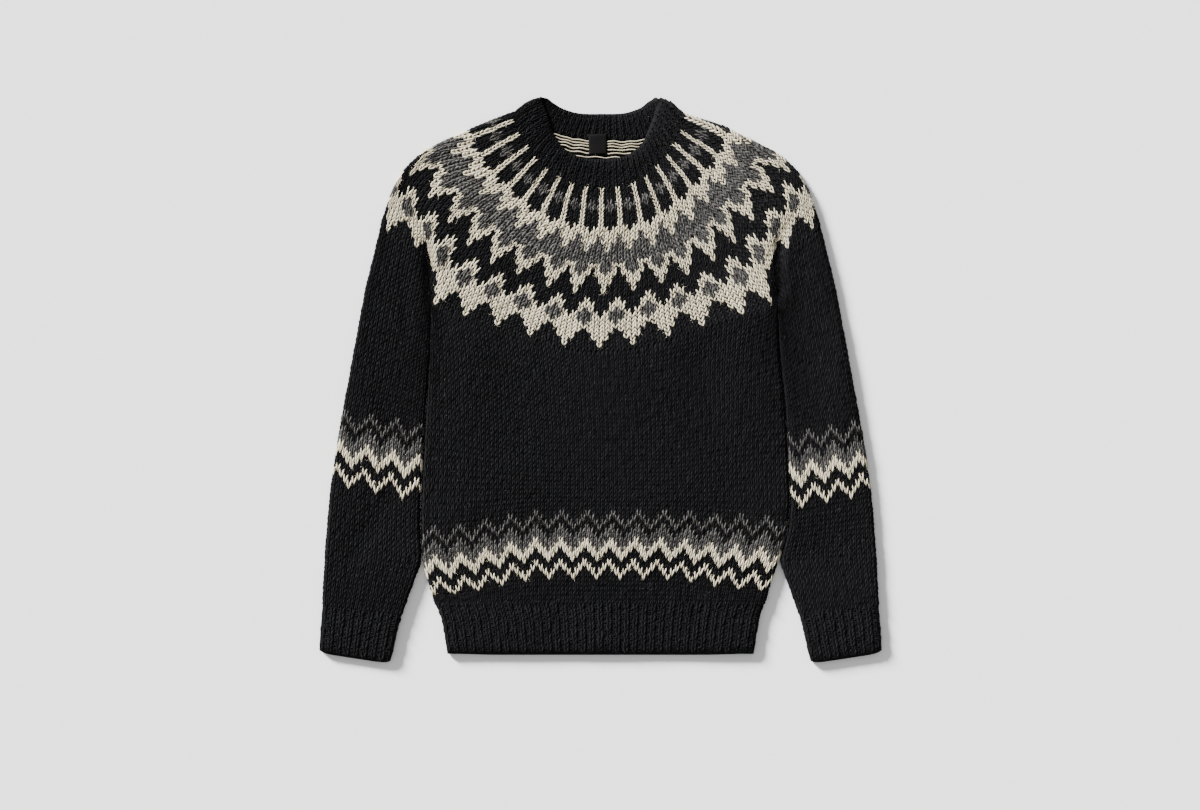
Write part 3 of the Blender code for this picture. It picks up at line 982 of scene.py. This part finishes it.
def knit(name, frames, yarn, seed, sizes):
    """One piece of yarn in one colour: a V for each set of place and arrows."""
    place, across, along, out = frames
    holder = mesh_object(name, place, [])
    for key, arrow in (("across", across), ("along", along), ("out", out)):
        layer = holder.data.attributes.new(key, "FLOAT_VECTOR", "POINT")
        layer.data.foreach_set("vector", (arrow * MM).ravel())
    return grown(holder, STITCHES, yarn, {"Seed": seed, **sizes})


print("yarn radius, in stitches:", [sizes["Yarn radius"] for sizes in YARN_SIZES.values()])

# %% [markdown]
# ## Loose strands and fuzz
#
# Two things of wool are not stitches: the floats behind the work, and the fuzz of fibres that
# stand out of the yarn and blur every edge between two colours. Both are strands along a path,
# so one tree sweeps them.

# %% the strand tree
def strand_tree():
    """Sweeps yarn along every path of edges."""
    tree = bpy.data.node_groups.new("yarn_strands", "GeometryNodeTree")
    names = tree_sockets(tree, (
        ("Geometry", "Geometry", None),
        ("Yarn radius", "Float", 0.0009),
        ("Yarn", "Material", None),
    ), (("Geometry", "Geometry"),))
    inside = node(tree, "NodeGroupInput").outputs
    path = node(tree, "GeometryNodeMeshToCurve", {"Mesh": inside["Geometry"]})
    finish_tree(tree, swept(tree, path.outputs["Curve"], inside["Yarn radius"], 3), inside["Yarn"])
    return tree, names


STRANDS = strand_tree()


def strands(name, paths, yarn, radius):
    """One piece of many strands of one yarn: each path is an array of points."""
    holder = mesh_object(name, np.concatenate(paths), [])
    starts = np.concatenate(([0], np.cumsum([len(path) for path in paths])))
    edges = [(i, i + 1) for a, b in zip(starts, starts[1:]) for i in range(a, b - 1)]
    holder.data.edges.add(len(edges))
    holder.data.edges.foreach_set("vertices", np.array(edges).ravel())
    return grown(holder, STRANDS, yarn, {"Yarn radius": radius * MM})


print("strand tree:", len(STRANDS[0].nodes), "nodes")

# %% [markdown]
# ## Fuzz
#
# Wool that isn't combed smooth has a haze of fibres. It could be a hair system, but the export
# wants plain meshes, so each fibre is a thin strand. It starts anywhere on a stitch, leans over
# and curls. A few pale ones, guard hairs, lie on the black.

# %% fuzz
FIBRES = {"k": 0.45, "g": 2.0, "w": 2.0}        # to a stitch
GUARD_HAIRS = 0.05      # pale ones among the black, to a stitch
FIBRE_LENGTH = 4.5
FIBRE_RADIUS = 0.09
LOWEST = 0.3            # fibres stay above the floor
SHARES = (0.0, 0.35, 0.7, 1.0)      # of a fibre's length, where its path has points
CURL, ARCH = 3.6, 0.3   # how far it bends sideways, and how far it stands up in the middle


def fuzz(name, frames, yarn, count, seed):
    """Short fibres that stand out of the stitches of one yarn."""
    place, across, along, out = frames
    chance = np.random.default_rng(seed)

    def between(low, high):
        return chance.uniform(low, high, (count, 1))

    pick = chance.integers(0, len(place), count)
    root = place[pick] + out[pick] * between(0.1, 0.3)
    root += across[pick] * between(-0.5, 0.5)
    root += along[pick] * between(-0.8, 0.8)
    wide = across[pick] / np.linalg.norm(across[pick], axis=1)[:, None]
    tall = along[pick] / np.linalg.norm(along[pick], axis=1)[:, None]
    turn = between(0.0, 2 * math.pi)
    ahead = np.cos(turn) * wide + np.sin(turn) * tall
    aside = np.cos(turn) * tall - np.sin(turn) * wide
    reach = FIBRE_LENGTH * between(0.4, 1.3)
    bend = reach * between(-0.35, 0.35)
    path = np.stack([root + share * reach * ahead + CURL * share * (1 - share) * bend * aside
                     + ARCH * share * (1 - share) * reach * out[pick] for share in SHARES], axis=1)
    path[:, :, 2] = np.maximum(path[:, :, 2], LOWEST)
    return strands(name, list(path), yarn, FIBRE_RADIUS)


print("fibres to a stitch:", FIBRES)

# %% [markdown]
# ## Whole grids of stitches
#
# A knitter changes yarn from stitch to stitch, but here all stitches of one yarn in one part of
# the sweater are one piece, with one material. A piece that would be too heavy is split.

# %% stitches of a grid, yarn by yarn
LIMIT = 3400            # stitches a piece, to keep it under 200,000 triangles


def knit_colours(name, cloth, yarn_of, seed, sizes=YARN_SIZES):
    """Stitches and fuzz of a whole grid of cloth points; yarn_of(row, column) names the yarn."""
    rows, columns = cloth.shape[0] - 2, cloth.shape[1] - 1
    r, c = (index.ravel() for index in np.mgrid[0:rows, 0:columns])
    yarn = np.array([yarn_of(a, b) for a, b in zip(r, c)])
    pieces = []
    for key, word in YARN_NAMES.items():
        chosen = np.flatnonzero(yarn == key)
        if not len(chosen):
            continue
        count = -(-len(chosen) // LIMIT)
        for number, part in enumerate(np.array_split(chosen, count)):
            label = f"{name}_{word}" + (f"_{number + 1}" if count > 1 else "")
            frames = stitch_points(cloth, r[part], c[part])
            pieces.append(knit(label, frames, key, seed + number, sizes[key]))
        frames = stitch_points(cloth, r[chosen], c[chosen])
        hairs = [(word, key, FIBRES[key])]
        if key == "k":
            hairs.append(("guard", "g", GUARD_HAIRS))
        for kind, tone, share in hairs:
            pieces.append(fuzz(f"{name}_{kind}_fuzz", frames, tone, round(share * len(chosen)),
                               seed + 5))
    return pieces


# %% [markdown]
# ## The yoke
#
# Its upper rounds have four stitches to a repeat and its lower ones six, because a yoke widens
# by adding stitches in the plain round between two pattern bands. The shell keeps six all the
# way, as its faces only colour the ground.

# %% yoke shell
UPPER_ROUNDS = len(UPPER_CHART)
UPPER_STITCHES, LOWER_STITCHES = 4, 6       # to a repeat
YOKE_PLACES = np.linspace(-HALF, HALF, 137)
CREASE_PAINTED_BLACK = (5.4, 6.6, 35)     # repeats and first round where pale stitches are made black: painted shade in the underarm crease


def yoke_yarn(number, repeat):
    """Yarn of a yoke stitch, by round and repeats from the pattern's own middle."""
    # Painted shade: in the underarm crease the pattern's pale stitches are made black.
    if CREASE_PAINTED_BLACK[0] < abs(repeat) < CREASE_PAINTED_BLACK[1] and number >= CREASE_PAINTED_BLACK[2]:
        return "k"
    if number < UPPER_ROUNDS:
        return chart_yarn(UPPER_CHART, number, UPPER_STITCHES, repeat)
    return chart_yarn(LOWER_CHART, number - UPPER_ROUNDS, LOWER_STITCHES, repeat)


def shell_yarn(row, column, top):
    """Yarn of a face of the yoke's shell, whose columns don't turn with the pattern."""
    return yoke_yarn(row, -HALF + (column + 0.5) / LOWER_STITCHES - turned(row))


yoke = tube("yoke_cloth", yoke_line, YOKE_PLACES, range(YOKE_ROWS + 1),
            np.linspace(-HALF, HALF, REPEATS * LOWER_STITCHES + 1), shell_yarn)
print("yoke shell:", len(yoke.data.polygons), "faces")

# %% [markdown]
# ## Stitches of the yoke
#
# The pattern is turned a little against the folds, so its stitches are counted from the
# pattern's own middle, and those that would lie past a shoulder fold are left out.

# %% yoke stitches
def yoke_stitches(name, stitches, first, last, seed):
    """Stitches of rounds first to last, as far round as the shoulder folds."""
    start = -HALF - 1.0
    count = (REPEATS + 1) * stitches + 1
    cloth = []
    for number in range(first, last + 3):
        at = start + (np.arange(count + 1) - 0.5) / stitches + turned(number)
        cloth.append(lay(YOKE_PLACES, lambda p, n=number: yoke_line(n, p), at, SHELL, True))

    def yarn(row, column):
        number, repeat = first + row, start + column / stitches
        seen = abs(repeat + turned(number + 1)) <= HALF + 0.5 / stitches
        return yoke_yarn(number, repeat) if seen else "-"

    return knit_colours(name, np.array(cloth), yarn, seed)


yoke_yarns = yoke_stitches("yoke_upper", UPPER_STITCHES, 0, UPPER_ROUNDS - 1, 10)
yoke_yarns += yoke_stitches("yoke_lower", LOWER_STITCHES, UPPER_ROUNDS, YOKE_ROWS - 1, 20)
print("yoke pieces:", [piece.name for piece in yoke_yarns])

# %% [markdown]
# ## The body
#
# A plain tube in black with one zigzag band. The band's peaks stand where they do in the
# photograph, so the count starts from a peak column near the middle. Its first row runs a
# little up under the yoke's last stitches, so no gap opens between them.

# %% body shell and stitches
BODY_PLACES = np.linspace(0.0, BODY_COLUMNS, 175)
BODY_STITCHES = np.arange(BODY_COLUMNS + 1.0)


def body_yarn(row, column, top=True):
    """Yarn of a stitch or a face of the body, front and back alike."""
    return band_yarn(row - BODY_BAND_ROW, column, BODY_PEAK_COLUMN)


body = tube("body_cloth", body_line, BODY_PLACES, [-SEAM_LAP, *range(1, BODY_ROWS + 1)],
            BODY_STITCHES, body_yarn)
body_grid = grid(body_line, BODY_PLACES, range(BODY_ROWS + 2), BODY_STITCHES, SHELL, True)
body_yarns = knit_colours("body", body_grid, body_yarn, 30, BAND_SIZES)
print("body pieces:", [piece.name for piece in body_yarns])

# %% [markdown]
# ## The sleeves
#
# Two narrower tubes, made the same way in a loop. Each has its band at its own height, and its
# own peak column, because the bands of the two sleeves don't mirror each other.

# %% sleeve shells and stitches
SLEEVE_PLACES = np.linspace(0.0, SLEEVE_COLUMNS, 64)
SLEEVE_STITCHES = np.arange(SLEEVE_COLUMNS + 1.0)
SIDES = {-1: "left", 1: "right"}
sleeves = {}
for side, word in SIDES.items():
    def sleeve_row(row, places, back=False, side=side):
        return sleeve_line(side, row, places, back)

    def sleeve_yarn(row, column, top=True, side=side):
        return band_yarn(row - SLEEVE_BAND_ROW, column, SLEEVE_PEAK_COLUMNS[side])

    piece = tube(f"sleeve_{word}_cloth", sleeve_row, SLEEVE_PLACES,
                 [-SEAM_LAP, *range(1, SLEEVE_ROWS + 1)], SLEEVE_STITCHES, sleeve_yarn)
    cloth = grid(sleeve_row, SLEEVE_PLACES, range(SLEEVE_ROWS + 2), SLEEVE_STITCHES, SHELL, True)
    yarns = knit_colours(f"sleeve_{word}", cloth, sleeve_yarn, 40 + side, BAND_SIZES)
    sleeves[side] = (piece, yarns)
    print(piece.name, "and", len(yarns), "pieces of yarn")

# %% [markdown]
# ## Ribbed bands
#
# One knit column, one purl column: the knit columns stand up as ribs and the purl columns sink.
# The shell is waved to match. A purl stitch shows its head, two strands across the column, so
# the same V is laid on its side there. The open edge of a band rolls over, so its last rows
# come down towards the cloth below.

# %% ribs
ROLL, ROLL_ROWS = 1.6, 2.0      # how far an open edge comes down, and over how many rows
RIB_SHARE = 0.29        # half width of a rib's stitch, of the distance between ribs
PURL_SHARE = 0.72       # half length of a purl stitch, of the groove's width

# A band: its row lines, the places that they are drawn through, and its ribs' first place,
# their distance and their number.
Band = namedtuple("Band", "line places start pitch ribs")


def rib_wave(band, at):
    """Height of the ribbed shell at places along a row: a crest in the middle of each rib."""
    return RIB_HEIGHT * (0.5 - 0.5 * np.cos(2 * math.pi * (at - band.start) / band.pitch))


def rolled(rows, edge):
    """How far a band's face comes down towards its open edge, row by row."""
    near = np.clip(1.0 - np.abs(np.array(rows) - edge) / ROLL_ROWS, 0.0, 1.0)
    return -ROLL * near[:, None] ** 2


def rib_stitches(name, band, rows, seed, roll, lift=RIB_HEIGHT, radius=SHELL, top=True):
    """Knit stitches down every rib, and purl stitches down every groove."""
    crests = band.start + (np.arange(band.ribs) + 0.5) * band.pitch
    half = RIB_SHARE * band.pitch
    at = np.stack((crests - half, crests + half), axis=1).ravel()
    parts = []
    for columns, first, height in ((band.ribs, 0, lift + roll), (band.ribs - 1, 1, roll)):
        r, c = (index.ravel() for index in np.mgrid[0:len(rows) - 2, 0:columns])
        cloth = grid(band.line, band.places, rows, at, radius, top, height)
        parts.append(stitch_points(cloth, r, 2 * c + first))
    ribs, (place, across, along, out) = parts
    grooves = (place, along, across * PURL_SHARE, out)
    frames = [np.concatenate(pair) for pair in zip(ribs, grooves)]
    return knit(name, frames, "k", seed, RIB_SIZES)


def all_black(row, column, top):
    """The bands have one colour."""
    return "k"


def rib_band(name, band, rows, seed, edge, past=0):
    """Waved shell and rib stitches of one band, whose open end is at row edge.

    The stitches run past the shell by some rows, where they cover a seam.
    """
    at = band.start + np.arange(4 * band.ribs + 1) * band.pitch / 4
    cloth = tube(name + "_cloth", band.line, band.places, rows, at, all_black,
                 rib_wave(band, at) + rolled(rows, edge))
    knitted = range(len(rows) + past)
    return cloth, rib_stitches(name + "_ribs", band, knitted, seed, rolled(knitted, edge))


print("the first rows of a rolled edge lie at", rolled(range(3), 0).ravel().tolist(), "mm")

# %% [markdown]
# ## The hem
#
# The hem rib is picked up from the body's last row and draws it in. Seen from above, the back
# of the hem shows a little below the front, so the back rows are longer.

# %% hem
BACK_DROP = 1.6         # how far the back of the hem shows below the front
BAND_PLACES = np.linspace(0.0, 1.0, 75)


def hem_line(row, places, back=False):
    """Plan points of a hem row at places from 0 to 1."""
    share = np.asarray(places, dtype=float)
    depth = row / HEM_ROWS
    y = HEM_SEAM_Y + SEAM_TUCK + (HEM_Y - HEM_SEAM_Y - SEAM_TUCK) * depth
    left, right = body_edge(y, -1), body_edge(y, 1)
    drop = BACK_DROP * depth * np.minimum(1.0, 8 * share * (1 - share)) if back else 0.0
    return np.stack((-left + (left + right) * share, y - drop + 0.0 * share), axis=1)


hem = rib_band("hem", Band(hem_line, BAND_PLACES, 0.0, 1 / HEM_RIBS, HEM_RIBS),
               range(HEM_ROWS + 1), 50, HEM_ROWS)
print("hem shell:", len(hem[0].data.polygons), "faces")

# %% [markdown]
# ## The cuffs
#
# A cuff follows its sleeve outwards. It could end square, but the corners of a knitted edge
# round off where it rolls, so the last rows bend up at both ends.

# %% cuffs
# Rows: number, inner fold x and y, outer fold x and y.
CUFF_TABLE = np.array((
    (0.0, 236.8, -278.5, 333.7, -267.0),
    (4.0, 243.0, -302.0, 335.6, -289.5),
    (8.0, 247.2, -323.0, 337.0, -310.0),
    (11.0, 251.0, -339.6, 337.6, -326.4),
))
CUFF_CORNER = 4.0       # how far the corners of the cuffs' edges are rounded up
cuffs = {}
for side, word in SIDES.items():
    def cuff_line(row, places, back=False, side=side):
        _, inner_x, inner_y, outer_x, outer_y = row_of(CUFF_TABLE, row)
        share = np.asarray(places, dtype=float)
        x = side * (inner_x + (outer_x - inner_x) * share)
        corner = CUFF_CORNER * (row / CUFF_ROWS) ** 5 * (2 * share - 1) ** 8
        return np.stack((x, inner_y + (outer_y - inner_y) * share + corner), axis=1)

    band = Band(cuff_line, BAND_PLACES, 0.0, 1 / CUFF_RIBS, CUFF_RIBS)
    cuffs[side] = rib_band(f"cuff_{word}", band, range(CUFF_ROWS + 1), 60 + side, CUFF_ROWS)
    print("cuff shell:", cuffs[side][0].name)

# %% [markdown]
# ## The neckband
#
# It grows from the yoke's first round up to the neck, and its ribs narrow on the way. It could
# be a plain ring, but at the shoulders such a band stands out before it turns over, so it swells
# there. The inside of its back is seen through the neck, so it gets ribs too.

# %% neckband
NECK_SWELL = (1.5, 2.6)     # how far the band stands out half-way up, at the shoulder
BACK_FULLNESS = 24.0        # evens the curve of the back's edge towards the shoulders
NECK_LINES = [*range(NECK_ROWS), NECK_ROWS + 0.2]       # down to just under the yoke's first row


def neck_line(row, places, back=False):
    """Plan points of a row of the neckband at places counted in the yoke's repeats."""
    points = yoke_line(RIM.number + row, places, back)
    share = row / NECK_ROWS
    side = points[:, 0] / np.abs(points[:, 0]).max()
    swell = 4 * share * (1 - share) * side ** 6
    points[:, 0] += NECK_SWELL[0] * swell * np.sign(side)
    points[:, 1] += NECK_SWELL[1] * swell
    if back:
        points[:, 1] += BACK_FULLNESS * max(1 - share, 0.0) * np.abs(side) ** 3 * (1 - side ** 2)
    return points


def neck_back_line(row, places):
    """Plan points of a row on the back of the neckband."""
    return neck_line(row, places, True)


band = Band(neck_line, YOKE_PLACES, -HALF, REPEATS / NECK_RIBS, NECK_RIBS)
neck = rib_band("neckband", band, NECK_LINES, 70, 0, past=1)
inside_rows = range(NECK_ROWS + 2)
neck_inside = rib_stitches("neckband_inside_ribs", band._replace(line=neck_back_line), inside_rows,
                           71, -rolled(inside_rows, 0), -RIB_HEIGHT, SHELL - WALL, False)
print("neckband:", neck[0].name, neck[1].name, neck_inside.name)

# %% [markdown]
# ## Floats inside the back
#
# Where two yarns share a round, the one not in use floats behind the work. Through the neck
# opening the floats of the ray pattern show as wavy pale lines on the inside of the back. Each
# is one strand along its round that sags between the rays, so a path and a sweep make it.

# %% the floats
FLOAT_PLACES = (1.0, 1.55, 2.1, 2.75, 3.5, 4.4)     # rounds, from the neck down
FLOAT_REACH = 6.0       # repeats to each side of the middle, past what the opening shows
FLOAT_RADIUS = 0.9
FLOAT_LIFT = 1.3        # how far a float stands off the inside of the back
float_paths = []
for number in FLOAT_PLACES:
    at = np.arange(-FLOAT_REACH, FLOAT_REACH + 0.01, 0.125)
    low = grid(lambda r, p: yoke_line(r, p, True), YOKE_PLACES, [number], at, SHELL - WALL, False)[0]
    low[:, 1] += 0.5 * np.cos(2 * math.pi * at) + 0.3 * np.sin(5.0 * at + 2.1 * number)
    low[:, 2] += FLOAT_LIFT + 0.3 * np.cos(2 * math.pi * at)
    float_paths.append(low)
floats = strands("yoke_inside_floats", float_paths, "w", FLOAT_RADIUS)
print("floats:", len(FLOAT_PLACES), "rounds,", len(floats.data.polygons), "faces")

# %% [markdown]
# ## The neck label
#
# A small tape, woven in satin and folded under at top and bottom, is sewn inside the back of
# the neck. It is bare. A grid gives it a slight curl, and its weave is a fine bump.

# %% label
LABEL_PLACE = (-3.2, 282.8, 4.9)        # middle of the label, and its height
LABEL_SIZE = (22.0, 24.5)
LABEL_TURN = math.radians(1.5)
LABEL_THICK = 0.5
LABEL_CURL = 0.35       # how far its upper and lower ends stand up


def label_skin(lift):
    """A grid of points across the label: its ends curl up, and its edges are rounded."""
    s, t = np.meshgrid(np.linspace(-1, 1, 13), np.linspace(1, -1, 13))
    x, y = s * LABEL_SIZE[0] / 2, t * LABEL_SIZE[1] / 2
    edge = np.clip((np.maximum(np.abs(s), np.abs(t)) - 0.9) / 0.1, 0.0, 1.0)
    z = lift * (1 - 0.5 * edge ** 2) + LABEL_CURL * np.cos(2.2 * s + 0.4) * np.abs(t)
    cos, sin = math.cos(LABEL_TURN), math.sin(LABEL_TURN)
    return np.stack((x * cos - y * sin, x * sin + y * cos, z), axis=2) + LABEL_PLACE


def slab(name, upper, lower):
    """Closed mesh between two grids of the same size."""
    rows, columns = upper.shape[:2]
    half = rows * columns
    faces = []
    for r in range(rows - 1):
        for c in range(columns - 1):
            a = r * columns + c
            faces.append((a, a + columns, a + columns + 1, a + 1))
            faces.append((half + a + 1, half + a + columns + 1, half + a + columns, half + a))
    number = np.arange(half).reshape(rows, columns)
    sides = (number[0], number[1:, -1], number[-1, -2::-1], number[-2:0:-1, 0])
    edge = np.concatenate(sides).tolist()
    for a, b in zip(edge, edge[1:] + edge[:1]):
        faces.append((a, b, half + b, half + a))
    points = np.concatenate((upper.reshape(-1, 3), lower.reshape(-1, 3)))
    return turned_outward(mesh_object(name, points, faces))


def label_material():
    """Black satin tape: fine weft lines in the tone and the bump."""
    material, tree, shader = surface("woven_label", {"Roughness": 0.6, "Specular IOR Level": 0.04})
    place = node(tree, "ShaderNodeTexCoord").outputs["Object"]
    weft = node(tree, "ShaderNodeTexWave", {"Vector": place, "Scale": 620.0, "Distortion": 0.6},
                bands_direction="Y").outputs["Fac"]
    tone = maths(tree, "MULTIPLY_ADD", weft, 0.6, 0.7)
    bump = node(tree, "ShaderNodeBump", {"Distance": 0.0002, "Strength": 0.6, "Height": weft})
    feed(tree, shader.inputs["Base Color"], arrows(tree, "SCALE", shaded("woven_label", 0.4), tone))
    feed(tree, shader.inputs["Normal"], bump.outputs["Normal"])
    return material


label = slab("neck_label_tape", label_skin(LABEL_THICK), label_skin(0.0))
label.data.materials.append(label_material())
print("label faces:", len(label.data.polygons))

# %% [markdown]
# ## The floor
#
# The sweater lies on a pale, matt board. A wide plane is enough, and it is stage, so it isn't
# exported. The cloth rests on it.

# %% floor
FLOOR_REACH = 4000.0
corners = [(x * FLOOR_REACH, y * FLOOR_REACH, 0.0) for x, y in ((-1, -1), (1, -1), (1, 1), (-1, 1))]
floor = mesh_object("floor", corners, [(0, 1, 2, 3)])
floor.data.materials.append(surface("pale_floor", {
    "Base Color": (0.90, 0.90, 0.90, 1.0), "Roughness": 0.9, "Specular IOR Level": 0.1,
})[0])
print("floor:", round(FLOOR_REACH * 2 * MM), "m wide")

# %% [markdown]
# ## Putting every piece on the frame
#
# Every piece rides on the one body. A shell stands for its solid, which is hidden. The table
# also lists the flat size of each tube, cut open along one side: round it at its widest, by its
# length, and the area of one layer.

# %% rides and replacements
# Columns: shell, its yarns, node, flat size in metres, and area in square metres.
GROUPS = (
    (yoke, yoke_yarns + [floats], "yoke", (1.34, 0.20), 0.207),
    (body, body_yarns, "body", (0.91, 0.37), 0.288),
    (sleeves[-1][0], sleeves[-1][1], "sleeve_left", (0.225, 0.45), 0.086),
    (sleeves[1][0], sleeves[1][1], "sleeve_right", (0.225, 0.45), 0.086),
    (hem[0], [hem[1]], "hem_rib", (0.80, 0.062), 0.049),
    (cuffs[-1][0], [cuffs[-1][1]], "cuff_left", (0.21, 0.061), 0.0115),
    (cuffs[1][0], [cuffs[1][1]], "cuff_right", (0.21, 0.061), 0.0115),
    (neck[0], [neck[1], neck_inside], "neckband", (0.56, 0.030), 0.0157),
)
for cloth, yarns, solid, flat, area in GROUPS:
    cloth.data.materials.append(GROUND)
    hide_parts(solid)
    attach(cloth, "root")
    for piece in yarns:
        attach(piece, "root")
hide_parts("neck_label")
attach(label, "root")

# %% [markdown]
# ## Light and camera
#
# The photograph is taken from straight above in soft daylight from the upper left, which lays
# a faint shadow to the lower right. An area lamp would fade across the sweater, so one sun a
# few degrees wide gives it, and a pale world fills the rest.

# %% lamp, world and camera
SUN_PLACE = (-1.2, 1.2, 0.57)       # it shines from here towards the middle
SUN_SPREAD = math.radians(13.0)
SUN_POWER = 22.3
SKY_POWER = 0.62
CAMERA_HEIGHT = 3.0
CAMERA_MIDDLE = (-0.0006, -0.0294)      # of the photograph, from the middle of the sweater
SENSOR_MM = 36.0
PICTURE_WIDTH = 1.44    # metres that the photograph spans: 1200 pixels of 1.2 mm

scene = bpy.context.scene
lamp = bpy.data.lights.new("key_lamp", "SUN")
lamp.angle = SUN_SPREAD
lamp.energy = SUN_POWER
sun = bpy.data.objects.new("key_lamp", lamp)
sun.location = SUN_PLACE
sun.rotation_euler = (-sun.location).to_track_quat("-Z", "Y").to_euler()
scene.collection.objects.link(sun)

scene.world = bpy.data.worlds.new("studio")
scene.world.use_nodes = True
sky = scene.world.node_tree.nodes["Background"].inputs
sky["Color"].default_value = (1.0, 1.0, 1.0, 1.0)
sky["Strength"].default_value = SKY_POWER

lens = bpy.data.cameras.new("camera")
lens.lens = SENSOR_MM * CAMERA_HEIGHT / PICTURE_WIDTH
camera = bpy.data.objects.new("camera", lens)
camera.location = (*CAMERA_MIDDLE, CAMERA_HEIGHT)
scene.collection.objects.link(camera)
scene.camera = camera
print("lens:", round(lens.lens, 1), "mm")
